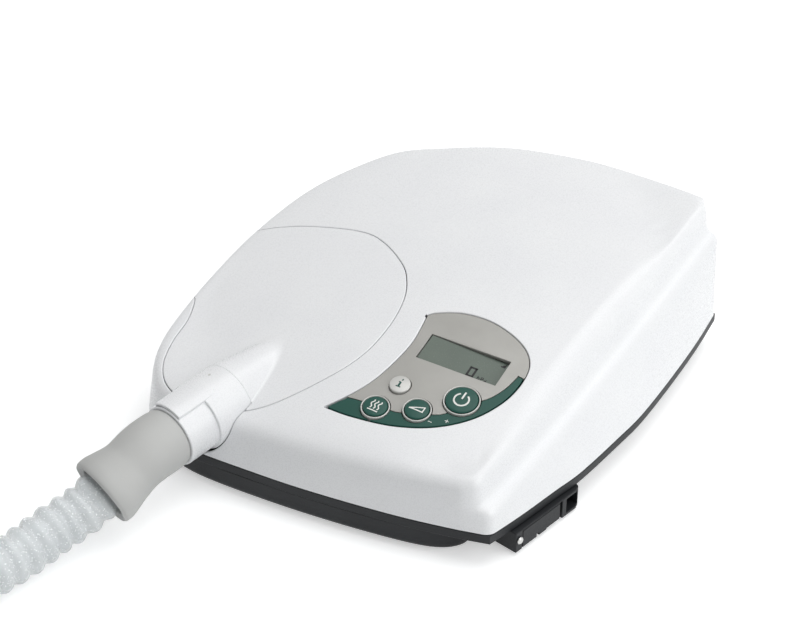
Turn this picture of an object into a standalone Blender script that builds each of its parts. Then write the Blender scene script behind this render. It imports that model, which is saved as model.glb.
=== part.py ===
"""A bedside air-pressure machine with a low white housing, a dark base tray, a control panel with
four buttons, an outlet nozzle and a ribbed hose that ends in a coil.

Everything is in metres, +Z is up and the front faces -Y. The plan sizes are measured from the
middle of the housing's own box; the last step stands the machine on the middle of its footprint.
"""
import math

import bmesh
import bpy
from mathutils import Matrix, Vector

# The housing as a whole
BODY_WIDTH = 0.2020
BODY_DEPTH = 0.2251
HOUSING_BOTTOM = 0.0170     # where the white housing meets the tray
WALL = 0.0024
SEAM_GAP = 0.0003           # clearance at every seam and seat
OVERRUN = 0.0040            # how far a cut runs past what it cuts
EDGE_ROUND = 0.0030         # soft edge between top and walls
CORNER_ROUND = 0.0018       # upright edges at the right-hand corners
CORNER_ROUND_INSIDE = 0.0006
BLOCK_REACH = 0.0600        # how far a cutting block stands off what it cuts

# The top: a plane that rises to the back, with a shallow crown on it
RIM_HEIGHT = 0.0556         # height of the rim plane over the middle of the plan
RIM_BACK_RISE_SHARE = 0.185
RIM_RIGHT_RISE_SHARE = 0.028
FAR_LEFT_LIFT = 0.0091      # extra rise of the rim along the diagonal to the far left
CROWN = 0.0090
TOP_RING_SHARES = (0.88, 0.66, 0.36)
EDGE_REACH_SHARE = 0.08     # how far inwards the top is read to set the slope of its soft edge

# The right-hand side steps down to a ledge before the wall
RIDGE_FRONT_SHARE = 0.3545  # of the width, from the middle
RIDGE_BACK_SHARE = 0.4455
RIDGE_BOW_SHARE = 0.0069
STEP_HEIGHT = 0.0118
STEP_DRAFT = 0.0016
LEDGE_WIDTH = 0.0056
LEDGE_DROP = 0.0022

# Plan outline where housing and tray meet, as shares of width and depth from the middle
RIGHT_OUTLINE_SHARES = (
    (0.395, -0.446), (0.421, -0.365), (0.4475, -0.268), (0.468, -0.193), (0.488, -0.059),
    (0.498, 0.029), (0.500, 0.164), (0.4965, 0.311), (0.487, 0.438),
)
ROUND_OUTLINE_SHARES = (
    (0.487, 0.438), (0.430, 0.4620), (0.294, 0.4790), (0.1477, 0.4852), (0.0013, 0.4704),
    (-0.0989, 0.4479), (-0.2099, 0.4040), (-0.3231, 0.3468), (-0.4146, 0.2393), (-0.4683, 0.1367),
    (-0.5040, -0.0004), (-0.5160, -0.1126), (-0.5180, -0.2246), (-0.5070, -0.3342), (-0.4710, -0.4150),
    (-0.4110, -0.4710), (-0.338, -0.4953), (-0.271, -0.4998), (-0.160, -0.5), (-0.041, -0.498),
    (0.089, -0.4896), (0.2153, -0.4771), (0.3347, -0.4585), (0.395, -0.446),
)
RIGHT_STATIONS = 10
ROUND_STATIONS = 38
FRONT_LEAN = 0.0066         # how far the front wall leans back, at its left end
FRONT_LEAN_RIGHT = 0.0012   # and at its right end
SIDE_LEAN = 0.0020          # draft of the left and back walls

# Base tray
LIP_HEIGHT = 0.0046
HULL_BOTTOM = 0.0018
TRAY_WALL = 0.0022
HULL_ROUND = 0.0036
HULL_ROUND_STEPS = 3
HULL_INSET_FRONT = 0.0
HULL_INSET_CORNER = 0.0050  # at the front right, beside the connection bay
HULL_INSET_RIGHT = 0.0165
HULL_INSET_ROUND = 0.0040
HULL_SMOOTHING_PASSES = 2

# Feet and screws, as shares of width and depth from the middle
FOOT_RADIUS = 0.0080
FOOT_PLACE_SHARES = {
    "foot_front_left": (-0.3168, -0.3376), "foot_front_right": (0.2673, -0.3199),
    "foot_back_left": (-0.2673, 0.2044), "foot_back_right": (0.2871, 0.3820),
}
SCREW_HEAD_RADIUS = 0.0030
SCREW_HEAD_HEIGHT = 0.0012
SCREW_SHANK_RADIUS = 0.0014
SCREW_LENGTH = 0.0110
SCREW_PLACE_SHARES = ((-0.0693, -0.4287), (0.1683, -0.4176), (-0.1980, 0.2932), (0.3366, 0.2488))
POST_RADIUS = 0.0036
POST_SIDES = 12

# Outlet cover: the lobe on the left that carries the nozzle's fairing. Outline as shares
COVER_OUTLINE_SHARES = (
    (-0.540, 0.0085), (-0.487, 0.0100), (-0.430, 0.0290), (-0.354, 0.0470), (-0.233, 0.0595), (-0.162, 0.0431),
    (-0.0856, -0.0027), (-0.0495, -0.0422), (-0.0252, -0.0906), (-0.0144, -0.1542), (-0.0198, -0.2261),
    (-0.0406, -0.2821), (-0.0752, -0.3336), (-0.1129, -0.3794), (-0.1545, -0.4189), (-0.205, -0.4460),
    (-0.272, -0.4580), (-0.345, -0.4560), (-0.405, -0.4340), (-0.446, -0.3900), (-0.466, -0.330),
    (-0.474, -0.262), (-0.500, -0.205), (-0.540, -0.180),
)
COVER_SKIRT = 0.0110        # how far the cover reaches down over the left rim
COVER_CEILING = 0.0900

# Nozzle axis: from the seam ring, forwards, to the left and a little down
SEAM_PLACE_SHARES = (-0.2653, -0.4034)
SEAM_HEIGHT = 0.0342
NOZZLE_HEADING = math.radians(13.0)
NOZZLE_PITCH = math.radians(4.5)
COLLAR_RADIUS = 0.0155
COLLAR_LENGTH = 0.0190
NECK_RADIUS = 0.0143
NECK_END = 0.0345           # along the axis from the seam
SPIGOT_RADIUS = 0.0110
SPIGOT_LENGTH = 0.0120
AIRWAY_RADIUS = 0.0092
SOCKET_RADIUS = 0.0116
SOCKET_DEPTH = 0.0120
TONGUE_HALF_WIDTH = 0.0080
TONGUE_RISE = 0.0012
TONGUE_END = 0.0340
TONGUE_SLOT_LENGTH = 0.0060
FAIRING_LENGTH = 0.0460
FAIRING_TAPER_SHARE = 0.150
FAIRING_WALL = 0.0018
ROUND_SIDES = 24

# Hose, its cuffs and its coil
HOSE_DIAMETER = 0.0224
HOSE_ROOT_DIAMETER = 0.0200
HOSE_BORE = 0.0176
HOSE_LENGTH = 1.8
HOSE_RIBS = 108
CUFF_SIDES = 14
CUFF_BORE_RADIUS = (SPIGOT_RADIUS + SEAM_GAP) / math.cos(math.pi / CUFF_SIDES)
CUFF_SEAT_DEPTH = 0.0090    # how deep the hose sits in a cuff
CUFF_SPIGOT_DEPTH = 0.0150
CUFF_RADIUS_SHARES = (
    (0.0, 1.22), (0.12, 1.26), (0.35, 1.25), (0.55, 1.22), (0.72, 1.31), (0.88, 1.45), (1.0, 1.43),
)
CUFF_BORE_STEP = 0.0010
# Middle line of the cuff on the nozzle after its straight part, and of the free hose: how far
# to the right and to the back of the seam ring, and the height over the table
CUFF_STRAIGHT = 0.0140
CUFF_LINE = ((-0.0141, -0.0584, 0.0262), (-0.0183, -0.0699, 0.0215))
HOSE_LINE = ((-0.0268, -0.0914, 0.0148), (-0.0341, -0.1182, 0.0118))
HOSE_REST_HEIGHT = HOSE_DIAMETER / 2 + SEAM_GAP
COIL_RIGHT_OF_SEAM = 0.0606
COIL_BACK_OF_SEAM = -0.2954
COIL_RADIUS = 0.1380
COIL_TURN_GAP = 0.0008
COIL_START = math.radians(164.76)
COIL_CLIMB = 0.0278         # the coil's end climbs this far, so its cuff lies on the other turns
COIL_CLIMB_OUT = 0.0120     # and moves this far outwards over them
COIL_CLIMB_TURNS = 0.35
STRAIGHT_END = 0.0240       # straight run at each end of a stretch of hose
TIE_WIDTH = 0.0140
TIE_THICKNESS = 0.0016
TIE_ANGLE = math.radians(-60.0)
TIE_RAMP = math.radians(22.0)

# Control panel, on a plane that follows the top
PANEL_PLACE_SHARES = (0.1782, -0.1884)
PANEL_RIGHT_SLOPE = -0.08
PANEL_BACK_SLOPE = 0.25
PANEL_WIDTH = 0.0687
PANEL_HEIGHT = 0.0746
PANEL_EDGE_SHARES = (
    (-0.3919, 0.2206), (-0.3408, 0.2615), (-0.1742, 0.3226), (0.0345, 0.3271), (0.2476, 0.2612), (0.3755, 0.1620),
    (0.4214, 0.0228), (0.3975, -0.1699), (0.2883, -0.3647), (0.1020, -0.5142), (-0.1401, -0.6047),
    (-0.4116, -0.6380), (-0.6149, -0.6353),
)
PANEL_LEFT_SHARES = (
    (-0.6149, -0.6353), (-0.5140, -0.5032), (-0.4322, -0.3549), (-0.3833, -0.1789), (-0.3629, -0.0203),
    (-0.3724, 0.1013), (-0.3919, 0.2206),
)
BAND_EDGE_SHARES = (
    (-0.5141, -0.5105), (-0.4279, -0.5045), (-0.2171, -0.4992), (-0.1487, -0.4902), (0.0358, -0.4305),
    (0.1076, -0.3878), (0.2545, -0.2287), (0.3045, -0.1658), (0.3443, -0.0754), (0.3660, 0.0322),
)
PANEL_BORDER = 0.0005
MITRE_LIMIT_SHARE = 0.35
PLATE_SINK = 0.0004
PLATE_THICKNESS = 0.0020
WINDOW_WIDTH = 0.0383
WINDOW_HEIGHT = 0.0147
WINDOW_SINK = 0.0016
GLASS_THICKNESS = 0.0008
POWER_RADIUS_SHARE = 0.0938     # of the panel's height
KEY_RADIUS_SHARE = 0.0710
INFO_RADIUS_SHARE = 0.0617
POWER_RADIUS = POWER_RADIUS_SHARE * PANEL_HEIGHT
KEY_RADIUS = KEY_RADIUS_SHARE * PANEL_HEIGHT
INFO_RADIUS = INFO_RADIUS_SHARE * PANEL_HEIGHT
RING_WIDTH = 0.0010
BUTTON_TRAVEL = 0.0008
BUTTON_STAND = 0.0007
BUTTON_DEPTH = 0.0046
BUTTON_FLANGE = 0.0009
FLANGE_THICKNESS = 0.0008
STEM_RADIUS = 0.0016
# Middle of each button as shares of the panel's width and height, and its radius
BUTTONS = {
    "power_button": (0.1557, -0.2828, POWER_RADIUS),
    "ramp_button": (-0.0597, -0.4477, KEY_RADIUS),
    "heater_button": (-0.3086, -0.5241, KEY_RADIUS),
    "info_button": (-0.2533, -0.3271, INFO_RADIUS),
}

# Connection bay under the right-hand lip
BAY_PLACE_SHARES = (0.4267, -0.3945)
BAY_LENGTH = 0.0440
BAY_DEPTH = 0.0130
BAY_BOTTOM = 0.0016
BAY_HEADING = math.radians(13.3)
BAY_CORNER = 0.0040
DOOR_START = 0.0046
DOOR_LENGTH = 0.0258
DOOR_THICKNESS = 0.0016
DOOR_HINGE_RADIUS = 0.0013
BAY_SILL = 0.0014           # what is left of the bay above the door
THUMB_NOTCH = 0.0006
NOTCH_RISE = 0.0010
AIR_HOLE_DEPTH = 0.0300
AIR_HOLE_HEIGHT = 0.0055
AIR_HOLE_MIDDLE = 0.0066
INLET_START = 0.0335
INLET_WIDTH = 0.0084
INLET_HEIGHT = 0.0076
INLET_DEPTH = 0.0115
PIN_RADIUS = 0.0009
PIN_LENGTH = 0.0060
PIN_SPACING = 0.0040
FILTER_DEPTH = 0.0040
FILTER_MARGIN = 0.0060      # the pocket is shorter than the door by this much
FILTER_SHIFT = 0.0008
SMALL_SCREW_RADIUS = 0.0017
SMALL_SCREW_HEIGHT = 0.0009

# Inside: blower, duct, boards
BLOWER_PLACE_SHARES = (0.0891, 0.1155)
BLOWER_RADIUS_SHARE = 0.2079    # of the width
BLOWER_RADIUS = BLOWER_RADIUS_SHARE * BODY_WIDTH
BLOWER_BOTTOM = 0.0090
BLOWER_SPLIT = 0.0260
BLOWER_TOP = 0.0430
BLOWER_WALL = 0.0020
BLOWER_EYE_RADIUS = 0.0130
IMPELLER_RADIUS = BLOWER_RADIUS - 4 * BLOWER_WALL
IMPELLER_LIFT = 0.0016      # clearance over the motor
HUB_RADIUS = 0.0040
HUB_FOOT_RADIUS = 0.0060
SHAFT_DEPTH = 0.0040
MOTOR_BORE_DEPTH = 0.0030
IMPELLER_DISC = 0.0012
BLADE_COUNT = 9
BLADE_HEIGHT = 0.0070
BLADE_THICKNESS = 0.0012
MOTOR_RADIUS = 0.0150
MOTOR_HEIGHT = 0.0130
SHAFT_RADIUS = 0.0015
MOUNT_RADIUS = 0.0045
MOUNT_COUNT = 3
DUCT_RADIUS = 0.0104
DUCT_WALL = 0.0014
DUCT_ANGLE = math.radians(205.0)
DUCT_HEIGHT = 0.0285
DUCT_STRAIGHT = 0.0080
DUCT_DROP = 0.0040
DUCT_POINTS = 12
BOARD_THICKNESS = 0.0016
CONTROL_BOARD_WIDTH_SHARE = 0.8151      # of the panel's width
CONTROL_BOARD_HEIGHT_SHARE = 0.8043     # of the panel's height
CONTROL_BOARD_WIDTH = CONTROL_BOARD_WIDTH_SHARE * PANEL_WIDTH
CONTROL_BOARD_HEIGHT = CONTROL_BOARD_HEIGHT_SHARE * PANEL_HEIGHT
CONTROL_BOARD_PLACE_SHARES = (-0.0582, -0.2011)
CONTROL_BOARD_CORNER = 0.0030
CONTROL_BOARD_DROP = 0.0110
DISPLAY_FRAME_MARGIN = 0.0022
DISPLAY_FRAME_HEIGHT = 0.0060
SWITCH_RADIUS = 0.0028
SUPPLY_PLACE_SHARES = (-0.2376, 0.0888)
SUPPLY_WIDTH_SHARE = 0.2079     # of the width
SUPPLY_LENGTH_SHARE = 0.2221    # of the depth
SUPPLY_WIDTH = SUPPLY_WIDTH_SHARE * BODY_WIDTH
SUPPLY_LENGTH = SUPPLY_LENGTH_SHARE * BODY_DEPTH
SUPPLY_HEIGHT = 0.0090
PILLAR_SIZE = 0.0050
TRANSFORMER_SIZE_SHARE = 0.5476     # of the supply board's width
TRANSFORMER_SIZE = TRANSFORMER_SIZE_SHARE * SUPPLY_WIDTH
TRANSFORMER_BEVEL = 0.0015
TRANSFORMER_PLACE_SHARES = (0.214, 0.280)     # on the supply board, from its middle
CAPACITOR_PLACE_SHARES = (-0.3214, -0.400)
HEAT_SINK_PLACE_SHARES = (-0.5, 0.140)
CAPACITOR_RADIUS = 0.0070
CAPACITOR_HEIGHT = 0.0240
HEAT_SINK_FINS = 4
HEAT_SINK_PITCH_SHARE = 0.1
HEAT_SINK_PITCH = HEAT_SINK_PITCH_SHARE * SUPPLY_WIDTH
FIN_THICKNESS = 0.0014
HEAT_SINK_LENGTH = 0.0320
HEAT_SINK_HEIGHT = 0.0180
FOAM_PLACE_SHARES = (0.2277, -0.2488)
FOAM_WIDTH_SHARE = 0.1782
FOAM_LENGTH_SHARE = 0.1866
FOAM_WIDTH = FOAM_WIDTH_SHARE * BODY_WIDTH
FOAM_LENGTH = FOAM_LENGTH_SHARE * BODY_DEPTH
FOAM_BEVEL = 0.0020
FOAM_HEIGHT = 0.0180
DATA_SOCKET_PLACE_SHARES = (-0.0495, 0.4525)
DATA_SOCKET_Z = 0.0330
DATA_SOCKET_WALL = 0.0015
DATA_SOCKET_MOUTH = 0.0020
DATA_SOCKET_WIDTH = 0.0130
DATA_SOCKET_HEIGHT = 0.0110
DATA_SOCKET_DEPTH = 0.0120

FINISHES = {
    "housing_white": ((0.86, 0.87, 0.88), 0.28, 0.0),
    "tray_black": ((0.035, 0.038, 0.040), 0.42, 0.0),
    "panel_silver": ((0.44, 0.44, 0.42), 0.38, 0.2),
    "key_green": ((0.02, 0.10, 0.08), 0.35, 0.0),
    "ring_grey": ((0.55, 0.55, 0.53), 0.4, 0.0),
    "display_grey": ((0.22, 0.26, 0.22), 0.2, 0.0),
    "cuff_grey": ((0.52, 0.53, 0.52), 0.6, 0.0),
    "hose_clear": ((0.85, 0.88, 0.89), 0.25, 0.0),
    "rubber_black": ((0.02, 0.02, 0.02), 0.8, 0.0),
    "steel": ((0.6, 0.6, 0.6), 0.3, 1.0),
    "board_green": ((0.02, 0.14, 0.06), 0.5, 0.0),
    "foam_grey": ((0.18, 0.18, 0.19), 0.95, 0.0),
    "filter_white": ((0.85, 0.85, 0.82), 0.9, 0.0),
    "copper": ((0.7, 0.35, 0.2), 0.35, 1.0),
    "inner_grey": ((0.35, 0.36, 0.37), 0.5, 0.0),
}


def clear_scene():
    """Remove every object that the file opened with."""
    for found in list(bpy.data.objects):
        bpy.data.objects.remove(found, do_unlink=True)


def new_collection(name):
    """A collection linked to the scene."""
    made = bpy.data.collections.new(name)
    bpy.context.scene.collection.children.link(made)
    return made


clear_scene()
PARTS = new_collection("air_pressure_machine")
CUTTERS = new_collection("cutters")
FRAME = bpy.data.objects.new("machine_frame", None)
PARTS.objects.link(FRAME)


def material(name, finish):
    """A plain shader with the colour, roughness and metallic value of a finish."""
    colour, roughness, metallic = FINISHES[finish]
    made = bpy.data.materials.new(name + "_" + finish)
    made.use_nodes = True
    shader = made.node_tree.nodes["Principled BSDF"]
    shader.inputs["Base Color"].default_value = (*colour, 1.0)
    shader.inputs["Roughness"].default_value = roughness
    shader.inputs["Metallic"].default_value = metallic
    return made


def outward(mesh):
    """Weld what coincides and turn every face outwards."""
    work = bmesh.new()
    work.from_mesh(mesh)
    bmesh.ops.remove_doubles(work, verts=work.verts, dist=1e-6)
    bmesh.ops.recalc_face_normals(work, faces=work.faces)
    work.to_mesh(mesh)
    work.free()
    return mesh


def part(name, mesh, finish, parent=None, place=None):
    """A named sub-part with its own material."""
    made = bpy.data.objects.new(name, mesh)
    mesh.name = name
    mesh.materials.clear()
    mesh.materials.append(material(name, finish))
    mesh.shade_smooth()
    mesh.set_sharp_from_angle(angle=math.radians(35))
    made.parent = parent or FRAME
    made.matrix_local = place or Matrix.Identity(4)
    PARTS.objects.link(made)
    return made


def cutter(name, mesh, parent=None, place=None):
    """A wire shape that only cuts."""
    made = bpy.data.objects.new("cut_" + name, mesh)
    made.display_type = "WIRE"
    made.hide_render = True
    made.parent = parent or FRAME
    made.matrix_local = place or Matrix.Identity(4)
    CUTTERS.objects.link(made)
    return made


def combine(target, other, operation="DIFFERENCE"):
    """Add an exact Boolean of another object to a target."""
    step = target.modifiers.new(other.name, "BOOLEAN")
    step.object = other
    step.operation = operation
    step.solver = "EXACT"
    return step


def baked(source):
    """The evaluated mesh of an object, in its own space."""
    bpy.context.view_layer.update()
    graph = bpy.context.evaluated_depsgraph_get()
    return bpy.data.meshes.new_from_object(source.evaluated_get(graph))


def settle(target):
    """Apply the modifiers of an object and clean the mesh."""
    mesh = outward(baked(target))
    target.modifiers.clear()
    old = target.data
    name = old.name
    target.data = mesh
    bpy.data.meshes.remove(old)
    mesh.name = name
    mesh.shade_smooth()
    mesh.set_sharp_from_angle(angle=math.radians(35))
    return target


def temporary(data):
    """A loose object for a curve or an unfinished mesh."""
    made = bpy.data.objects.new("temporary", data)
    bpy.context.scene.collection.objects.link(made)
    return made


def drop(made):
    """Turn a loose object into a clean mesh and remove it."""
    mesh = outward(baked(made))
    data = made.data
    bpy.data.objects.remove(made, do_unlink=True)
    if isinstance(data, bpy.types.Curve):
        bpy.data.curves.remove(data)
    return mesh


def moved(mesh, matrix):
    """The same mesh, carried by a matrix."""
    mesh.transform(matrix)
    return mesh


def plate_mesh(outlines, thickness, middle=0.0):
    """A flat plate: the first outline is its edge, the others are holes in it."""
    curve = bpy.data.curves.new("plate", "CURVE")
    curve.dimensions = "2D"
    curve.fill_mode = "BOTH"
    curve.extrude = thickness / 2
    for outline in outlines:
        spline = curve.splines.new("POLY")
        spline.points.add(len(outline) - 1)
        for point, (x, y) in zip(spline.points, outline):
            point.co = (x, y, 0.0, 1.0)
        spline.use_cyclic_u = True
    mesh = drop(temporary(curve))
    return moved(mesh, Matrix.Translation((0.0, 0.0, middle)))


def turned_mesh(profile, sides=ROUND_SIDES, closed=False):
    """A profile of (radius, height) turned about Z; a closed one makes a ring."""
    mesh = bpy.data.meshes.new("turned")
    points = [(radius, 0.0, height) for radius, height in profile]
    edges = [(i, i + 1) for i in range(len(points) - 1)]
    if closed:
        edges.append((len(points) - 1, 0))
    mesh.from_pydata(points, edges, [])
    made = temporary(mesh)
    screw = made.modifiers.new("turn", "SCREW")
    screw.axis = "Z"
    screw.steps = sides
    screw.render_steps = sides
    screw.use_merge_vertices = True
    screw.merge_threshold = 1e-5
    return drop(made)


def box_mesh(size, centre, bevel=0.0):
    """A box, with softened edges where a bevel is given."""
    work = bmesh.new()
    bmesh.ops.create_cube(work, size=1.0)
    bmesh.ops.scale(work, verts=work.verts, vec=size)
    if bevel:
        bmesh.ops.bevel(work, geom=work.edges, offset=bevel, segments=1, affect="EDGES")
    bmesh.ops.translate(work, verts=work.verts, vec=centre)
    mesh = bpy.data.meshes.new("box")
    work.to_mesh(mesh)
    work.free()
    return mesh


def tube_mesh(points, radii, resolution=2):
    """A filled tube along points, with its own radius at each."""
    curve = bpy.data.curves.new("tube", "CURVE")
    curve.dimensions = "3D"
    curve.bevel_depth = 1.0
    curve.bevel_resolution = resolution
    curve.use_fill_caps = True
    curve.twist_mode = "MINIMUM"
    spline = curve.splines.new("POLY")
    spline.points.add(len(points) - 1)
    for slot, place, radius in zip(spline.points, points, radii):
        slot.co = (*place, 1.0)
        slot.radius = radius
    return drop(temporary(curve))


def smooth_curve(points, count, cyclic=False):
    """Read a Catmull-Rom curve through points at equal steps of its length."""
    points = [Vector(p) for p in points]
    last = len(points)
    spans = last if cyclic else last - 1
    dense = []
    for i in range(spans):
        if cyclic:
            four = [points[(i + k) % last] for k in (-1, 0, 1, 2)]
        else:
            four = [points[min(max(i + k, 0), last - 1)] for k in (-1, 0, 1, 2)]
            if i == 0:
                four[0] = 2 * points[0] - points[1]
            if i == spans - 1:
                four[3] = 2 * points[-1] - points[-2]
        for step in range(16):
            dense.append(catmull(four, step / 16))
    dense.append(points[0].copy() if cyclic else points[-1].copy())
    return resample(dense, count, keep_end=not cyclic)


def catmull(four, t):
    """A point between the middle two of four points."""
    a, b, c, d = four
    return 0.5 * ((2 * b) + (c - a) * t + (2 * a - 5 * b + 4 * c - d) * t * t + (3 * b - a - 3 * c + d) * t ** 3)


def resample(dense, count, keep_end=True):
    """Points at equal steps along a dense line."""
    lengths = [0.0]
    for a, b in zip(dense, dense[1:]):
        lengths.append(lengths[-1] + (b - a).length)
    steps = count - 1 if keep_end else count
    found = []
    j = 0
    for i in range(count):
        goal = lengths[-1] * i / steps
        while j < len(dense) - 2 and lengths[j + 1] < goal:
            j += 1
        span = lengths[j + 1] - lengths[j]
        share = (goal - lengths[j]) / span if span else 0.0
        found.append(dense[j].lerp(dense[j + 1], min(share, 1.0)))
    return found


def in_plan(shares):
    """Shares of the body's width and depth as plan points."""
    return [Vector((u * BODY_WIDTH, v * BODY_DEPTH, 0.0)) for u, v in shares]


def rim_plane(x, y):
    """Height of the rim: a plane, lifted a little towards the far left."""
    far_left = max(0.0, y / BODY_DEPTH - x / BODY_WIDTH)
    return RIM_HEIGHT + RIM_BACK_RISE_SHARE * y + RIM_RIGHT_RISE_SHARE * x + FAR_LEFT_LIFT * far_left ** 2


def crown(x, y):
    """How far the top stands over the rim plane."""
    reach = (2 * x / BODY_WIDTH) ** 2 + (2 * y / BODY_DEPTH) ** 2
    return CROWN * max(0.0, 1.0 - reach)


def top_height(x, y):
    """Height of the finished top surface."""
    return rim_plane(x, y) + crown(x, y)


def right_station(place, share):
    """Upright profile of the stepped right-hand side."""
    reach = RIDGE_FRONT_SHARE + (RIDGE_BACK_SHARE - RIDGE_FRONT_SHARE) * share
    ridge_x = BODY_WIDTH * (reach + 4 * RIDGE_BOW_SHARE * share * (1 - share))
    ridge_y = place.y * (1 - SIDE_LEAN / BODY_DEPTH * 3)
    ridge = Vector((ridge_x, ridge_y, rim_plane(ridge_x, ridge_y)))
    foot = ridge + Vector((STEP_DRAFT, 0.0, -STEP_HEIGHT))
    ledge = foot + Vector((LEDGE_WIDTH, 0.0, -LEDGE_DROP))
    return [Vector((place.x, place.y, HOUSING_BOTTOM)), ledge, foot, ridge]


def round_station(place, normal):
    """Upright profile of a plain leaning wall."""
    facing_front = max(0.0, -normal.y) ** 2
    right_share = min(max(place.x / BODY_WIDTH + 0.5, 0.0), 1.0)
    front = FRONT_LEAN + (FRONT_LEAN_RIGHT - FRONT_LEAN) * right_share ** 2
    lean = SIDE_LEAN + (front - SIDE_LEAN) * facing_front
    rim = place - normal * lean
    rim.z = rim_plane(rim.x, rim.y)
    low = Vector((place.x, place.y, HOUSING_BOTTOM))
    return [low, low.lerp(rim, 0.36), low.lerp(rim, 0.48), rim]


def ring_normals(points):
    """Outward plan normals of a closed ring that runs anticlockwise."""
    count = len(points)
    found = []
    for i in range(count):
        along = points[(i + 1) % count] - points[i - 1]
        found.append(Vector((along.y, -along.x, 0.0)).normalized())
    return found


def outline_stations():
    """Plan points all round, anticlockwise from the front right-hand corner, and the side each is on."""
    right = smooth_curve(in_plan(RIGHT_OUTLINE_SHARES), RIGHT_STATIONS)
    rest = smooth_curve(in_plan(ROUND_OUTLINE_SHARES), ROUND_STATIONS)
    return right, rest[1:-1]


def rounded(before, corner, after, size):
    """Three points in place of a corner, the first and last a given distance from it."""
    start = corner + (before - corner).normalized() * min(size, (before - corner).length * 0.45)
    end = corner + (after - corner).normalized() * min(size, (after - corner).length * 0.45)
    middle = start * 0.25 + corner * 0.5 + end * 0.25
    return [start, middle, end]


def drawn_in(profile, normal, inset):
    """The same upright profile, as far inside the outer one as the wall is thick."""
    low, *upper = profile
    step = normal * inset
    return [low - step] + [p - step - Vector((0.0, 0.0, inset)) for p in upper]


def housing_profiles(inset=0.0):
    """The upright profile at every station round the housing, at an inset from the outside."""
    right, rest = outline_stations()
    whole = right + rest
    normals = ring_normals(whole)
    profiles = [right_station(p, i / (len(right) - 1)) for i, p in enumerate(right)]
    profiles += [round_station(p, n) for p, n in zip(rest, normals[len(right):])]
    if inset:
        profiles = [drawn_in(p, n, inset) for p, n in zip(profiles, normals)]
    corners = (0, len(right) - 1)
    size = CORNER_ROUND_INSIDE if inset else CORNER_ROUND
    spread = []
    for i, profile in enumerate(profiles):
        if i not in corners:
            spread.append(profile)
            continue
        before, after = profiles[i - 1], profiles[(i + 1) % len(profiles)]
        columns = [rounded(before[k], profile[k], after[k], size) for k in range(len(profile))]
        spread += [[column[j] for column in columns] for j in range(3)]
    return spread


def soften(profile, inset=0.0):
    """Round the ledge and the rim of one profile and start the top."""
    low, ledge, foot, rim = profile
    inward = rim * (1 - EDGE_REACH_SHARE)
    inward.z = top_height(inward.x, inward.y) - inset
    ledge_points = rounded(low, ledge, foot, EDGE_ROUND * 0.6)
    rim_points = rounded(foot, rim, inward, EDGE_ROUND)
    return [low, ledge_points[0], ledge_points[2], foot, *rim_points]


def loft(rings, closing_point=None):
    """Faces between closed rings of equal count, with a fan to a last point."""
    points = [p for ring in rings for p in ring]
    count = len(rings[0])
    faces = []
    for r in range(len(rings) - 1):
        for i in range(count):
            j = (i + 1) % count
            faces.append((r * count + i, r * count + j, (r + 1) * count + j, (r + 1) * count + i))
    if closing_point is not None:
        points.append(closing_point)
        base = (len(rings) - 1) * count
        faces += [(base + i, base + (i + 1) % count, len(points) - 1) for i in range(count)]
    mesh = bpy.data.meshes.new("loft")
    mesh.from_pydata(points, [], faces)
    return mesh


def skin_rings(inset=0.0):
    """Closed rings of the housing's skin, from the foot of the wall to the inner part of the top."""
    profiles = [soften(p, inset) for p in housing_profiles(inset)]
    rings = [[profile[k] for profile in profiles] for k in range(len(profiles[0]))]
    for share in TOP_RING_SHARES:
        ring = []
        for profile in profiles:
            edge = profile[-1]
            x, y = edge.x * share, edge.y * share
            ring.append(Vector((x, y, top_height(x, y) - inset)))
        rings.append(ring)
    return rings


def housing_skin_mesh():
    """The housing as an even shell: walls, ledge, rim and crowned top, outside and inside."""
    outside, inside = skin_rings(), skin_rings(WALL)
    high = Vector((0.0, 0.0, top_height(0.0, 0.0)))
    work = bmesh.new()
    work.from_mesh(loft(outside, high))
    work.from_mesh(loft(inside, high - Vector((0.0, 0.0, WALL))))
    work.from_mesh(loft([outside[0], inside[0]]))
    mesh = bpy.data.meshes.new("skin")
    work.to_mesh(mesh)
    work.free()
    return outward(mesh)


def lobe_mesh(grow):
    """The outlet cover's outline as an upright block; its floor lies under the rim plane."""
    outline = smooth_curve(in_plan(COVER_OUTLINE_SHARES), 60, cyclic=True)
    normals = ring_normals(outline)
    turn = 1.0 if signed_area(outline) > 0 else -1.0
    flat = [(p.x + n.x * grow * turn, p.y + n.y * grow * turn) for p, n in zip(outline, normals)]
    mesh = plate_mesh([flat], 1.0)
    for vertex in mesh.vertices:
        if vertex.co.z > 0:
            vertex.co.z = COVER_CEILING
        else:
            vertex.co.z = rim_plane(vertex.co.x, vertex.co.y) - COVER_SKIRT - grow
    return mesh


def signed_area(points):
    """Positive for an anticlockwise ring."""
    return 0.5 * sum(a.x * b.y - b.x * a.y for a, b in zip(points, points[1:] + points[:1]))


def nozzle_frame():
    """Matrix with its Z along the nozzle, outwards, at the seam ring."""
    along = nozzle_direction()
    side = Vector((0.0, 0.0, 1.0)).cross(along).normalized()
    up = along.cross(side)
    turn = Matrix((side, up, along)).transposed().to_4x4()
    return Matrix.Translation(seam_place()) @ turn


def seam_place():
    """Middle of the seam ring."""
    spot = in_plan([SEAM_PLACE_SHARES])[0]
    spot.z = SEAM_HEIGHT
    return spot


def from_seam(offset):
    """A point given by its way from the seam ring in plan and its height over the table."""
    seam = seam_place()
    return Vector((seam.x + offset[0], seam.y + offset[1], offset[2]))


def nozzle_direction():
    """Unit vector out of the nozzle."""
    level = math.cos(NOZZLE_PITCH)
    return Vector((-math.sin(NOZZLE_HEADING) * level, -math.cos(NOZZLE_HEADING) * level, -math.sin(NOZZLE_PITCH)))


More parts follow.
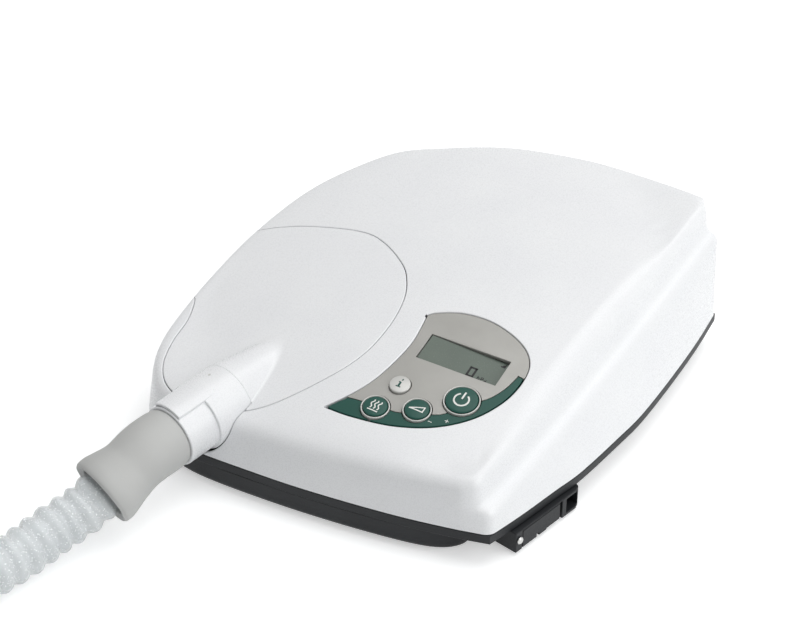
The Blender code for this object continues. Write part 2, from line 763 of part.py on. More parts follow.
def fairing_radius(back):
    """Outer radius of the fairing a distance behind the seam."""
    return COLLAR_RADIUS - FAIRING_TAPER_SHARE * back


def fairing_cone_mesh(inset, back, front):
    """The fairing's cone as a solid, drawn in by an inset."""
    low = fairing_radius(back) - inset
    high = fairing_radius(-front) - inset
    return turned_mesh([(0.0, front), (high, front), (low, -back), (0.0, -back)])


def under_skin_mesh():
    """All that lies under the middle of the top skin, near the outlet cover."""
    steps = 14
    low_x, high_x = -0.56 * BODY_WIDTH, 0.03 * BODY_WIDTH
    low_y, high_y = -0.56 * BODY_DEPTH, 0.10 * BODY_DEPTH
    points = []
    for level in range(2):
        for j in range(steps + 1):
            for i in range(steps + 1):
                x = low_x + (high_x - low_x) * i / steps
                y = low_y + (high_y - low_y) * j / steps
                points.append((x, y, 0.0 if level == 0 else top_height(x, y) - WALL / 2))
    return slab_mesh(points, steps, steps)


def slab_mesh(points, across, along):
    """A closed slab from a lower and an upper grid of points."""
    row = across + 1
    half = row * (along + 1)
    faces = []
    for j in range(along):
        for i in range(across):
            a = j * row + i
            faces.append((a, a + row, a + row + 1, a + 1))
            faces.append((half + a, half + a + 1, half + a + row + 1, half + a + row))
    for i in range(across):
        faces.append((i, i + 1, half + i + 1, half + i))
        k = along * row + i
        faces.append((k + 1, k, half + k, half + k + 1))
    for j in range(along):
        a = j * row
        faces.append((a + row, a, half + a, half + a + row))
        b = a + across
        faces.append((b, b + row, half + b + row, half + b))
    mesh = bpy.data.meshes.new("slab")
    mesh.from_pydata(points, [], faces)
    return outward(mesh)


def panel_frame():
    """Matrix of the panel's plane: X to the right, Y up the slope, Z out of the face."""
    out = Vector((-PANEL_RIGHT_SLOPE, -PANEL_BACK_SLOPE, 1.0)).normalized()
    right = Vector((1.0, 0.0, PANEL_RIGHT_SLOPE)).normalized()
    up = out.cross(right)
    turn = Matrix((right, up, out)).transposed().to_4x4()
    spot = in_plan([PANEL_PLACE_SHARES])[0]
    spot.z = top_height(spot.x, spot.y)
    return Matrix.Translation(spot) @ turn


def skin_level(x, y):
    """Local height of the top surface over a point of the panel's plane."""
    place = panel_frame()
    level = 0.0
    for _ in range(12):
        found = place @ Vector((x, y, level))
        level -= (found.z - top_height(found.x, found.y)) * 0.95
    return level


def panel_points(shares):
    """Panel shares as local points."""
    return [Vector((u * PANEL_WIDTH, v * PANEL_HEIGHT, 0.0)) for u, v in shares]


def panel_outline(shrink=0.0):
    """The panel's edge: a round outer side, and a hollow left side beside the cover."""
    outer = smooth_curve(panel_points(PANEL_EDGE_SHARES), 34)
    left = smooth_curve(panel_points(PANEL_LEFT_SHARES), 14)
    return inset_ring(outer + left[1:-1], shrink)


def inset_ring(ring, shrink):
    """A ring of plan points drawn in by an even distance, either way round."""
    reach = shrink if signed_area(ring) > 0 else -shrink
    found = []
    for i, p in enumerate(ring):
        before = (p - ring[i - 1]).normalized()
        after = (ring[(i + 1) % len(ring)] - p).normalized()
        sides = [Vector((way.y, -way.x, 0.0)) for way in (before, after)]
        middle = (sides[0] + sides[1]).normalized()
        step = middle * (reach / max(middle.dot(sides[0]), MITRE_LIMIT_SHARE))
        found.append((p.x - step.x, p.y - step.y))
    return found


def band_outline(shrink=0.0):
    """The green band: the lower rim of the panel under the line between the buttons."""
    edge = smooth_curve(panel_points(BAND_EDGE_SHARES), 18)
    outer = smooth_curve(panel_points(PANEL_EDGE_SHARES), 60)
    right_top = BAND_EDGE_SHARES[-1][1] * PANEL_HEIGHT
    lower = [p for i, p in enumerate(outer) if p.y < right_top and i > 20]
    left = panel_points(PANEL_LEFT_SHARES[:2])
    ring = edge + lower[::2] + [left[0].lerp(left[1], 0.6)]
    whole = [Vector((x, y, 0.0)) for x, y in inset_ring(ring, PANEL_BORDER)]
    return inset_ring(whole, shrink)


def circle(x, y, radius, sides=ROUND_SIDES):
    """Points of a circle."""
    turn = 2 * math.pi / sides
    return [(x + radius * math.cos(i * turn), y + radius * math.sin(i * turn)) for i in range(sides)]


def rectangle(x, y, width, height, corner=0.0, steps=3):
    """Points of a rectangle, with rounded corners where asked."""
    if not corner:
        return [(x + sx * width / 2, y + sy * height / 2) for sx, sy in ((-1, -1), (1, -1), (1, 1), (-1, 1))]
    found = []
    for quarter, (sx, sy) in enumerate(((1, 1), (-1, 1), (-1, -1), (1, -1))):
        cx, cy = x + sx * (width / 2 - corner), y + sy * (height / 2 - corner)
        for i in range(steps + 1):
            angle = math.pi / 2 * (quarter + i / steps)
            found.append((cx + corner * math.cos(angle), cy + corner * math.sin(angle)))
    return found


def panel_plate_mesh(sink, thickness):
    """A sheet that follows the top under the panel, in the panel's own frame."""
    steps = 9
    low_x, high_x = -0.64 * PANEL_WIDTH, 0.48 * PANEL_WIDTH
    low_y, high_y = -0.74 * PANEL_HEIGHT, 0.38 * PANEL_HEIGHT
    points = []
    for level in range(2):
        depth = sink + thickness if level == 0 else sink
        for j in range(steps + 1):
            for i in range(steps + 1):
                x = low_x + (high_x - low_x) * i / steps
                y = low_y + (high_y - low_y) * j / steps
                points.append((x, y, skin_level(x, y) - depth))
    return slab_mesh(points, steps, steps)


def deep(outlines):
    """Cutting block through the panel with given outlines."""
    return plate_mesh(outlines, BLOCK_REACH)


def button_places():
    """Name, place on the panel and radius of each button."""
    return [(name, u * PANEL_WIDTH, v * PANEL_HEIGHT, radius) for name, (u, v, radius) in BUTTONS.items()]


def make_housing(skin):
    """White top housing with its openings, posts and nozzle saddle."""
    made = part("top_housing", skin.copy(), "housing_white")
    combine(made, cutter("panel_opening", deep([panel_outline()]), place=panel_frame()))
    combine(made, cutter("cover_opening", lobe_mesh(0.0)))
    wide, narrow = COLLAR_RADIUS + SEAM_GAP, fairing_radius(FAIRING_LENGTH) + SEAM_GAP
    saddle = turned_mesh([(0.0, BLOCK_REACH), (wide, BLOCK_REACH), (wide, 0.0), (narrow, -FAIRING_LENGTH),
                          (0.0, -FAIRING_LENGTH)])
    combine(made, cutter("nozzle_saddle", saddle, place=nozzle_frame()))
    size = (DATA_SOCKET_WIDTH, BLOCK_REACH, DATA_SOCKET_HEIGHT)
    socket = box_mesh(size, (DATA_SOCKET_PLACE_SHARES[0] * BODY_WIDTH, BODY_DEPTH / 2, DATA_SOCKET_Z))
    combine(made, cutter("data_opening", socket))
    for i, (x, y, _) in enumerate(in_plan(SCREW_PLACE_SHARES)):
        post = cutter("post_%d" % i, post_mesh(x, y), place=Matrix.Translation((x, y, 0.0)))
        combine(made, post, "UNION")
    return settle(made)


def make_cover(skin):
    """Outlet cover: the lobe of the top skin with the nozzle's half-cone fairing."""
    made = part("outlet_cover", skin.copy(), "housing_white")
    combine(made, cutter("cover_lobe", lobe_mesh(-SEAM_GAP)), "INTERSECT")
    hump = cutter("fairing", fairing_cone_mesh(0.0, FAIRING_LENGTH, SEAM_GAP), place=nozzle_frame())
    combine(hump, cutter("under_skin", under_skin_mesh()))
    settle(hump)
    combine(made, hump, "UNION")
    hollow = fairing_cone_mesh(FAIRING_WALL, FAIRING_LENGTH - FAIRING_WALL * 2, OVERRUN)
    combine(made, cutter("fairing_hollow", hollow, place=nozzle_frame()))
    wide = COLLAR_RADIUS + SEAM_GAP
    clear = turned_mesh([(0.0, BLOCK_REACH), (wide, BLOCK_REACH), (wide, -SEAM_GAP / 2), (0.0, -SEAM_GAP / 2)])
    combine(made, cutter("collar_clearance", clear, place=nozzle_frame()))
    return settle(made)


def hull_outline():
    """Plan ring of the tray's hull under the lip, smoothed at its corners."""
    right, rest = outline_stations()
    whole = right + rest
    normals = ring_normals(whole)
    ring = []
    for i, (p, n) in enumerate(zip(whole, normals)):
        if i == 0:
            inset = HULL_INSET_CORNER
        elif i < len(right):
            inset = HULL_INSET_RIGHT
        else:
            inset = HULL_INSET_ROUND + (HULL_INSET_FRONT - HULL_INSET_ROUND) * max(0.0, -n.y)
        ring.append(p - n * inset)
    for _ in range(HULL_SMOOTHING_PASSES):
        ring = [(ring[i - 1] + 2 * p + ring[(i + 1) % len(ring)]) / 4 for i, p in enumerate(ring)]
    return ring, normals


def at_height(ring, normals, inset, z):
    """A plan ring drawn in and set at a height."""
    return [Vector((p.x - n.x * inset, p.y - n.y * inset, z)) for p, n in zip(ring, normals)]


def make_tray():
    """Dark base tray: a lip all round, and a rounded hull set in below it."""
    right, rest = outline_stations()
    edge = right + rest
    hull, normals = hull_outline()
    top = HOUSING_BOTTOM - SEAM_GAP
    under = top - LIP_HEIGHT
    rings = [at_height(edge, normals, 0.0, top), at_height(edge, normals, 0.0, under),
             at_height(hull, normals, 0.0, under)]
    for i in range(HULL_ROUND_STEPS + 1):
        angle = math.pi / 2 * i / HULL_ROUND_STEPS
        drawn = HULL_ROUND * (1 - math.cos(angle))
        rings.append(at_height(hull, normals, drawn, HULL_BOTTOM + HULL_ROUND * (1 - math.sin(angle))))
    open_tray = temporary(outward(loft(rings, Vector((0.0, 0.0, HULL_BOTTOM)))))
    shell = open_tray.modifiers.new("wall", "SOLIDIFY")
    shell.thickness = TRAY_WALL
    shell.offset = -1.0
    shell.use_even_offset = True
    mesh = drop(open_tray)
    for vertex in mesh.vertices:
        vertex.co.z = min(vertex.co.z, top)
    made = part("base_tray", mesh, "tray_black")
    high, seat, under_floor = HULL_BOTTOM + TRAY_WALL + OVERRUN, HULL_BOTTOM + SCREW_HEAD_HEIGHT, HULL_BOTTOM - OVERRUN
    shank, head = SCREW_SHANK_RADIUS + SEAM_GAP, SCREW_HEAD_RADIUS + SEAM_GAP
    for i, (x, y, _) in enumerate(in_plan(SCREW_PLACE_SHARES)):
        profile = [(0.0, high), (shank, high), (shank, seat), (head, seat), (head, under_floor), (0.0, under_floor)]
        hole = turned_mesh(profile, POST_SIDES)
        combine(made, cutter("tray_hole_%d" % i, hole, place=Matrix.Translation((x, y, 0.0))))
    size = (AIR_HOLE_DEPTH, DOOR_LENGTH * 0.6, AIR_HOLE_HEIGHT)
    inlet = box_mesh(size, (-BAY_DEPTH, DOOR_START + DOOR_LENGTH / 2, AIR_HOLE_MIDDLE))
    combine(made, cutter("air_hole", inlet, place=bay_frame()))
    return settle(made)


def post_mesh(x, y):
    """Screw post that hangs from the top skin down to the tray's floor."""
    low = HULL_BOTTOM + TRAY_WALL + SEAM_GAP
    high = top_height(x, y) - WALL / 2
    bore = SCREW_SHANK_RADIUS + SEAM_GAP
    end = low + SCREW_LENGTH
    profile = [(0.0, high), (POST_RADIUS, high), (POST_RADIUS, low), (bore, low), (bore, end), (0.0, end)]
    return turned_mesh(profile, POST_SIDES)


def joined(meshes):
    """Several meshes as one, kept as separate bodies."""
    work = bmesh.new()
    for mesh in meshes:
        work.from_mesh(mesh)
    made = bpy.data.meshes.new("joined")
    work.to_mesh(made)
    work.free()
    return made


def make_screws():
    """Four screws that hold the housing to the tray."""
    head = HULL_BOTTOM + SCREW_HEAD_HEIGHT - SEAM_GAP
    tip = HULL_BOTTOM + TRAY_WALL + SCREW_LENGTH * 0.9
    profile = [(0.0, tip), (SCREW_SHANK_RADIUS, tip), (SCREW_SHANK_RADIUS, head), (SCREW_HEAD_RADIUS, head),
               (SCREW_HEAD_RADIUS, HULL_BOTTOM), (0.0, HULL_BOTTOM)]
    for i, (x, y, _) in enumerate(in_plan(SCREW_PLACE_SHARES)):
        mesh = turned_mesh(profile, POST_SIDES)
        part("housing_screw_%d" % (i + 1), mesh, "steel", place=Matrix.Translation((x, y, 0.0)))


def make_feet():
    """Four rubber feet under the tray."""
    high = HULL_BOTTOM - SEAM_GAP
    profile = [(0.0, high), (FOOT_RADIUS, high), (FOOT_RADIUS, high * 0.4), (FOOT_RADIUS - high * 0.4, 0.0), (0.0, 0.0)]
    for name, spot in FOOT_PLACE_SHARES.items():
        part(name, turned_mesh(profile, 20), "rubber_black", place=Matrix.Translation(in_plan([spot])[0]))


def make_socket():
    """Fixed tube in the housing that the collar turns on."""
    profile = [(AIRWAY_RADIUS, SOCKET_DEPTH), (SOCKET_RADIUS, SOCKET_DEPTH), (SOCKET_RADIUS, -SOCKET_DEPTH),
               (AIRWAY_RADIUS, -SOCKET_DEPTH)]
    return part("outlet_socket", turned_mesh(profile, closed=True), "inner_grey", place=nozzle_frame())


def make_collar():
    """Outlet collar: it turns on the socket and ends in the cone that the hose's cuff grips."""
    bore = SOCKET_RADIUS + SEAM_GAP
    start = SEAM_GAP / 2
    tip = NECK_END + SPIGOT_LENGTH
    cone = SPIGOT_RADIUS - SPIGOT_LENGTH / 80
    stop = SOCKET_DEPTH + SEAM_GAP
    profile = [(bore, start), (bore, stop), (AIRWAY_RADIUS, stop), (AIRWAY_RADIUS, tip), (cone, tip),
               (SPIGOT_RADIUS, NECK_END), (NECK_RADIUS, NECK_END), (NECK_RADIUS, COLLAR_LENGTH),
               (COLLAR_RADIUS, COLLAR_LENGTH - SEAM_GAP), (COLLAR_RADIUS, start)]
    made = part("outlet_collar", turned_mesh(profile, closed=True), "housing_white", place=nozzle_frame())
    sweep = [math.radians(90 + a) for a in range(-32, 33, 8)]
    inner, outer = NECK_RADIUS - TONGUE_RISE, COLLAR_RADIUS + TONGUE_RISE * 0.3
    wedge = [(outer * math.cos(a), outer * math.sin(a)) for a in sweep]
    wedge += [(inner * math.cos(a), inner * math.sin(a)) for a in reversed(sweep)]
    length = TONGUE_END - COLLAR_LENGTH * 0.6
    tongue = cutter("tongue", plate_mesh([wedge], length, TONGUE_END - length / 2), place=nozzle_frame())
    combine(made, tongue, "UNION")
    size = (TONGUE_HALF_WIDTH * 1.3, TONGUE_RISE, TONGUE_SLOT_LENGTH)
    slot = box_mesh(size, (0.0, NECK_RADIUS + TONGUE_RISE * 0.05, TONGUE_END))
    combine(made, cutter("tongue_slot", slot, place=nozzle_frame()))
    return settle(made)


def cuff_line():
    """Middle line of the cuff on the nozzle, from its mouth to the hose end."""
    mouth = seam_place() + nozzle_direction() * (NECK_END + SEAM_GAP)
    straight = mouth + nozzle_direction() * CUFF_STRAIGHT
    return [mouth, straight] + [from_seam(p) for p in CUFF_LINE]


def cuff_meshes(line):
    """A soft cuff: its swelling outer form, and the cutter for its bore and seats."""
    outer = resample(smooth_curve(line, 40), 13)
    total = sum((b - a).length for a, b in zip(outer, outer[1:]))
    radii = [profile_value(CUFF_RADIUS_SHARES, i / 12) * SPIGOT_RADIUS for i in range(13)]
    body = tube_mesh(outer, radii, CUFF_SIDES // 2 - 2)
    fine = smooth_curve(line, 60)
    before = fine[0] + (fine[0] - fine[1]).normalized() * OVERRUN
    after = fine[-1] + (fine[-1] - fine[-2]).normalized() * OVERRUN
    seat, seat_radius = total - CUFF_SEAT_DEPTH, HOSE_DIAMETER / 2 + SEAM_GAP
    marks = [(-OVERRUN, CUFF_BORE_RADIUS), (CUFF_SPIGOT_DEPTH, CUFF_BORE_RADIUS),
             (CUFF_SPIGOT_DEPTH + CUFF_BORE_STEP, AIRWAY_RADIUS), (seat - CUFF_BORE_STEP, AIRWAY_RADIUS),
             (seat, seat_radius), (total + OVERRUN, seat_radius)]
    line = [before] + fine + [after]
    places = [along_line(line, reach + OVERRUN) for reach, _ in marks]
    bore = tube_mesh(places, [radius for _, radius in marks], CUFF_SIDES // 2 - 2)
    return body, bore


def profile_value(shares, t):
    """Read a table of (share, value) pairs."""
    for (t0, v0), (t1, v1) in zip(shares, shares[1:]):
        if t <= t1:
            return v0 + (v1 - v0) * (t - t0) / (t1 - t0)
    return shares[-1][1]


def along_line(points, distance):
    """The point at a distance along a line of points."""
    for a, b in zip(points, points[1:]):
        span = (b - a).length
        if distance <= span:
            return a.lerp(b, distance / span)
        distance -= span
    return points[-1]


def make_near_cuff():
    """Soft cuff of the hose on the nozzle's cone."""
    body, bore = cuff_meshes(cuff_line())
    made = part("hose_cuff", body, "cuff_grey")
    combine(made, cutter("hose_cuff_bore", bore))
    return settle(made)


def coil_point(angle, turns):
    """A point of the coil's middle line; it winds anticlockwise and inwards, and its end climbs."""
    wound = angle / (2 * math.pi)
    late = min(max((wound - (turns - COIL_CLIMB_TURNS)) / COIL_CLIMB_TURNS, 0.0), 1.0)
    radius = COIL_RADIUS - (HOSE_DIAMETER + COIL_TURN_GAP) * wound + COIL_CLIMB_OUT * late ** 3
    heading = COIL_START + angle
    apart = math.remainder(heading - TIE_ANGLE, 2 * math.pi)
    lift = (TIE_THICKNESS + 2 * SEAM_GAP) * math.exp(-(apart / TIE_RAMP) ** 2)
    height = HOSE_REST_HEIGHT + lift + COIL_CLIMB * late * late * (3 - 2 * late)
    right = COIL_RIGHT_OF_SEAM + radius * math.cos(heading)
    back = COIL_BACK_OF_SEAM + radius * math.sin(heading)
    return from_seam((right, back, height))


def free_line():
    """Middle line of the hose from inside the near cuff to where the coil starts."""
    cuff = smooth_curve(cuff_line(), 60)
    length = sum((b - a).length for a, b in zip(cuff, cuff[1:]))
    seat = along_line(cuff, length - CUFF_SEAT_DEPTH + SEAM_GAP)
    straight = cuff[-1] + (cuff[-1] - seat).normalized() * HOSE_DIAMETER * 0.5
    start, back = coil_entry()
    lead = [start + back * STRAIGHT_END * k for k in (2, 1, 0)]
    return [seat, cuff[-1], straight] + [from_seam(p) for p in HOSE_LINE] + lead


def coil_entry():
    """Where the free hose meets the coil's own stretch, and the way back along it."""
    start = coil_point(0.0, math.inf)
    back = (start - coil_point(math.radians(1.0), math.inf)).normalized()
    return start + back * STRAIGHT_END, back


def coil_turns():
    """Turns that use up the length left over after the free hose, its tail and its seats."""
    free = smooth_curve(free_line(), 200)
    used = sum((b - a).length for a, b in zip(free, free[1:]))
    rest = HOSE_LENGTH - used - STRAIGHT_END * 2 - CUFF_SEAT_DEPTH
    low, high = 0.5, 4.0
    for _ in range(40):
        turns = (low + high) / 2
        steps = 400
        line = [coil_point(2 * math.pi * turns * i / steps, turns) for i in range(steps + 1)]
        length = sum((b - a).length for a, b in zip(line, line[1:]))
        if length > rest:
            high = turns
        else:
            low = turns
    return turns


def coil_line():
    """The coil's middle line with its straight tail."""
    turns = coil_turns()
    steps = int(turns * 48)
    line = [coil_point(2 * math.pi * turns * i / steps, turns) for i in range(steps + 1)]
    along = (line[-1] - line[-2]).normalized()
    along.z = 0.0
    along.normalize()
    line.append(line[-1] + along * (STRAIGHT_END + CUFF_SEAT_DEPTH))
    return [coil_entry()[0]] + line


def ribbed_mesh(line, ribs):
    """A ribbed hose along a line, a high and a low ring for each rib."""
    count = ribs * 2 + 1
    points = resample(line, count)
    radii = [HOSE_DIAMETER / 2 if i % 2 else HOSE_ROOT_DIAMETER / 2 for i in range(count)]
    return tube_mesh(points, radii, 2)


def bore_mesh(line, rings):
    """The hose's bore: a plainer tube that runs past both ends."""
    points = resample(line, rings)
    points[0] = points[0] + (points[0] - points[1]).normalized() * OVERRUN
    points[-1] = points[-1] + (points[-1] - points[-2]).normalized() * OVERRUN
    return tube_mesh(points, [HOSE_BORE / 2] * rings, 2)


def hose_part(name, line):
    """One stretch of ribbed hose with its bore cut out."""
    length = sum((b - a).length for a, b in zip(line, line[1:]))
    ribs = max(4, round(HOSE_RIBS * length / HOSE_LENGTH))
    made = part(name, ribbed_mesh(line, ribs), "hose_clear")
    combine(made, cutter(name + "_bore", bore_mesh(line, max(6, ribs // 2))))
    return settle(made)


def least_gap(line):
    """Smallest clearance between turns of the hose, read on its middle line."""
    points = resample(line, 400)
    least = 1.0
    for i, a in enumerate(points):
        for j in range(i + 40, len(points)):
            least = min(least, (a - points[j]).length)
    return least - HOSE_DIAMETER


def make_hose():
    """The free stretch and the coil of one hose, which meet end to end."""
    free = smooth_curve(free_line(), 160)
    coil = resample(coil_line(), 600)
    whole = free + coil[1:]
    total = sum((b - a).length for a, b in zip(whole, whole[1:]))
    print("hose length", round(total, 4), "turns", round(coil_turns(), 3))
    print("least gap of the coil to itself", round(least_gap(coil), 5))
    coil[0] = coil[0] + (coil[1] - coil[0]).normalized() * SEAM_GAP
    hose_part("hose", free)
    hose_part("hose_coil", coil)
    return coil


def make_far_cuff(coil):
    """Cuff on the hose's far end, for the mask's cone."""
    along = (coil[-1] - coil[-2]).normalized()
    length = (cuff_line()[-1] - cuff_line()[0]).length
    start = coil[-1] + along * (SEAM_GAP - CUFF_SEAT_DEPTH)
    line = [start + along * (length * (1 - i / 4)) for i in range(5)]
    body, bore = cuff_meshes(line)
    made = part("far_cuff", body, "cuff_grey")
    combine(made, cutter("far_cuff_bore", bore))
    return settle(made)


def make_tie():
    """Band that holds the coil's turns together."""
    places = tie_places()
    inner, outer = places
    middle = (inner + outer) / 2
    across = (outer - inner).normalized()
    along = Vector((-across.y, across.x, 0.0))
    gap = SEAM_GAP * 2
    width = (outer - inner).length + HOSE_DIAMETER + 3 * gap
    height = HOSE_DIAMETER + 2 * gap
    hole = rectangle(0.0, 0.0, width, height, HOSE_DIAMETER / 2, 4)
    grow = 2 * TIE_THICKNESS
    skin = rectangle(0.0, 0.0, width + grow, height + grow, HOSE_DIAMETER / 2 + TIE_THICKNESS, 4)
    mesh = plate_mesh([skin, hole], TIE_WIDTH)
    turn = Matrix((across, Vector((0.0, 0.0, 1.0)), along)).transposed().to_4x4()
    return part("hose_tie", mesh, "rubber_black", place=Matrix.Translation(middle) @ turn)


def tie_places():
    """Middle points of the two turns side by side under the tie."""
    first = (TIE_ANGLE - COIL_START) % (2 * math.pi)
    turns = coil_turns()
    return coil_point(first + 2 * math.pi, turns), coil_point(first, turns)


def make_panel():
    """Silver faceplate, green band, button rings, display and the four buttons."""
    plane = panel_frame()
    plate = part("display_bezel", panel_plate_mesh(PLATE_SINK, PLATE_THICKNESS), "panel_silver", place=plane)
    combine(plate, cutter("bezel_edge", deep([panel_outline(SEAM_GAP)]), place=plane), "INTERSECT")
    window = rectangle(0.0, 0.0, WINDOW_WIDTH, WINDOW_HEIGHT)
    combine(plate, cutter("window", deep([window]), place=plane))
    combine(plate, cutter("band_opening", deep([band_outline()]), place=plane))
    for name, x, y, radius in button_places():
        reach = radius + (RING_WIDTH if name != "info_button" else 0.0) + SEAM_GAP
        combine(plate, cutter(name + "_plate_hole", deep([circle(x, y, reach)]), place=plane))
    settle(plate)
    band = part("keypad_band", panel_plate_mesh(PLATE_SINK, PLATE_THICKNESS), "key_green", place=plane)
    combine(band, cutter("band_edge", deep([band_outline(SEAM_GAP)]), place=plane), "INTERSECT")
    for name, x, y, radius in button_places():
        reach = radius + RING_WIDTH + SEAM_GAP
        combine(band, cutter(name + "_band_hole", deep([circle(x, y, reach)]), place=plane))
    settle(band)
    make_rings(plane)
    make_buttons(plane)
    make_display(plane)


def make_rings(plane):
    """Light rings round the three green buttons."""
    for name, x, y, radius in button_places():
        if name == "info_button":
            continue
        level = skin_level(x, y)
        outer, inner = radius + RING_WIDTH, radius + SEAM_GAP
        high, low = level + PLATE_SINK, level - PLATE_SINK - PLATE_THICKNESS
        mesh = turned_mesh([(inner, high), (outer, high - PLATE_SINK), (outer, low), (inner, low)], closed=True)
        part(name + "_ring", mesh, "ring_grey", place=plane @ Matrix.Translation((x, y, 0.0)))


def make_buttons(plane):
    """Four round push buttons with a flange under the plate and a stem over the switch."""
    for name, x, y, radius in button_places():
        level = skin_level(x, y)
        lowest = min(skin_level(*p) for p in circle(x, y, radius + BUTTON_FLANGE, 12))
        under = lowest - PLATE_SINK - PLATE_THICKNESS - SEAM_GAP
        top = level + BUTTON_STAND
        floor = -CONTROL_BOARD_DROP + SWITCH_RADIUS * 0.6 + BUTTON_TRAVEL + SEAM_GAP
        wide, lower = radius + BUTTON_FLANGE, under - FLANGE_THICKNESS
        profile = [(0.0, top + BUTTON_STAND * 0.4), (radius * 0.7, top + BUTTON_STAND * 0.3), (radius * 0.94, top),
                   (radius, top - BUTTON_STAND * 0.6), (radius, under), (wide, under), (wide, lower),
                   (STEM_RADIUS, lower), (STEM_RADIUS, floor), (0.0, floor)]
        finish = "ring_grey" if name == "info_button" else "key_green"
        part(name, turned_mesh(profile, 18), finish, place=plane @ Matrix.Translation((x, y, 0.0)))


def make_display(plane):
    """Display glass in the window, its frame, the control board and the switches."""
    glass_top = -PLATE_SINK - WINDOW_SINK
    size = (WINDOW_WIDTH - 2 * SEAM_GAP, WINDOW_HEIGHT - 2 * SEAM_GAP, GLASS_THICKNESS)
    part("display_glass", box_mesh(size, (0.0, 0.0, glass_top - GLASS_THICKNESS / 2)), "display_grey", place=plane)
    board_top = -CONTROL_BOARD_DROP
    high = glass_top - 2 * GLASS_THICKNESS - SEAM_GAP
    low = board_top + SEAM_GAP
    frame_size = (WINDOW_WIDTH + 2 * DISPLAY_FRAME_MARGIN, WINDOW_HEIGHT + 2 * DISPLAY_FRAME_MARGIN)
    mesh = plate_mesh([rectangle(0.0, 0.0, *frame_size)], high - low, (high + low) / 2)
    part("display_module", mesh, "inner_grey", place=plane)
    x, y = (share * size for share, size in zip(CONTROL_BOARD_PLACE_SHARES, (PANEL_WIDTH, PANEL_HEIGHT)))
    outline = rectangle(x, y, CONTROL_BOARD_WIDTH, CONTROL_BOARD_HEIGHT, CONTROL_BOARD_CORNER)
    board = plate_mesh([outline], BOARD_THICKNESS, board_top - BOARD_THICKNESS / 2)
    made = part("control_board", board, "board_green", place=plane)
    dome = [(0.0, SWITCH_RADIUS * 0.6), (SWITCH_RADIUS * 0.8, SWITCH_RADIUS * 0.45),
            (SWITCH_RADIUS, SWITCH_RADIUS * 0.15), (SWITCH_RADIUS, -BOARD_THICKNESS / 2), (0.0, -BOARD_THICKNESS / 2)]
    for name, x, y, _ in button_places():
        switch = cutter(name + "_switch", turned_mesh(dome, 12), place=plane @ Matrix.Translation((x, y, board_top)))
        combine(made, switch, "UNION")
    settle(made)


def bay_frame():
    """Matrix of the connection bay: Y along its face to the back, X out of the face."""
    return Matrix.Translation(in_plan([BAY_PLACE_SHARES])[0]) @ Matrix.Rotation(-BAY_HEADING, 4, "Z")


def make_bay():
    """Connection bay under the lip: a block with the filter pocket and the mains inlet."""
    top = HOUSING_BOTTOM - SEAM_GAP - LIP_HEIGHT - SEAM_GAP
    outline = [(0.0, 0.0), (0.0, BAY_LENGTH - BAY_CORNER), (-BAY_CORNER * 0.3, BAY_LENGTH - BAY_CORNER * 0.3),
               (-BAY_CORNER, BAY_LENGTH), (-BAY_DEPTH, BAY_LENGTH), (-BAY_DEPTH, 0.0)]
    centre = (top + BAY_BOTTOM) / 2
    made = part("connection_bay", plate_mesh([outline], top - BAY_BOTTOM, centre), "tray_black", place=bay_frame())
    middle = DOOR_START + DOOR_LENGTH / 2
    height = top - BAY_BOTTOM - BAY_SILL
    size = (2 * (DOOR_THICKNESS + SEAM_GAP), DOOR_LENGTH + 2 * SEAM_GAP, height + OVERRUN)
    door_pocket = box_mesh(size, (0.0, middle, centre - OVERRUN / 2))
    combine(made, cutter("door_pocket", door_pocket, place=bay_frame()))
    size = (2 * BAY_DEPTH + OVERRUN, DOOR_LENGTH - FILTER_MARGIN, height - BAY_SILL)
    pocket = box_mesh(size, (0.0, middle - FILTER_SHIFT, centre))
    combine(made, cutter("filter_pocket", pocket, place=bay_frame()))
    inlet = box_mesh((2 * INLET_DEPTH, INLET_WIDTH, INLET_HEIGHT), (0.0, INLET_START + INLET_WIDTH / 2, centre))
    combine(made, cutter("inlet_mouth", inlet, place=bay_frame()))
    return settle(made)


def make_door():
    """Filter door: a flat flap with a thumb notch, hinged upright beside the mains inlet."""
    top = HOUSING_BOTTOM - 2 * SEAM_GAP - LIP_HEIGHT
    height = top - BAY_BOTTOM - BAY_SILL
    centre = (top + BAY_BOTTOM) / 2
    hinge_y = DOOR_START + DOOR_LENGTH - DOOR_HINGE_RADIUS
    place = bay_frame() @ Matrix.Translation((-DOOR_THICKNESS / 2, hinge_y, centre))
    length = DOOR_LENGTH - DOOR_HINGE_RADIUS
    low = -height / 2 + SEAM_GAP
    deep_low, notch, high = low - THUMB_NOTCH, low + NOTCH_RISE, height / 2 - SEAM_GAP
    outline = [(-length, deep_low), (-length * 0.62, deep_low), (-length * 0.62, notch), (-length * 0.56, notch),
               (-length * 0.56, deep_low), (-length * 0.38, deep_low), (-length * 0.34, low), (0.0, low),
               (0.0, high), (-length, high)]
    flap = plate_mesh([outline], DOOR_THICKNESS)
    turn = Matrix(((0.0, 0.0, 1.0, 0.0), (1.0, 0.0, 0.0, 0.0), (0.0, 1.0, 0.0, 0.0), (0.0, 0.0, 0.0, 1.0)))
    return part("filter_door", moved(flap, turn), "tray_black", place=place)


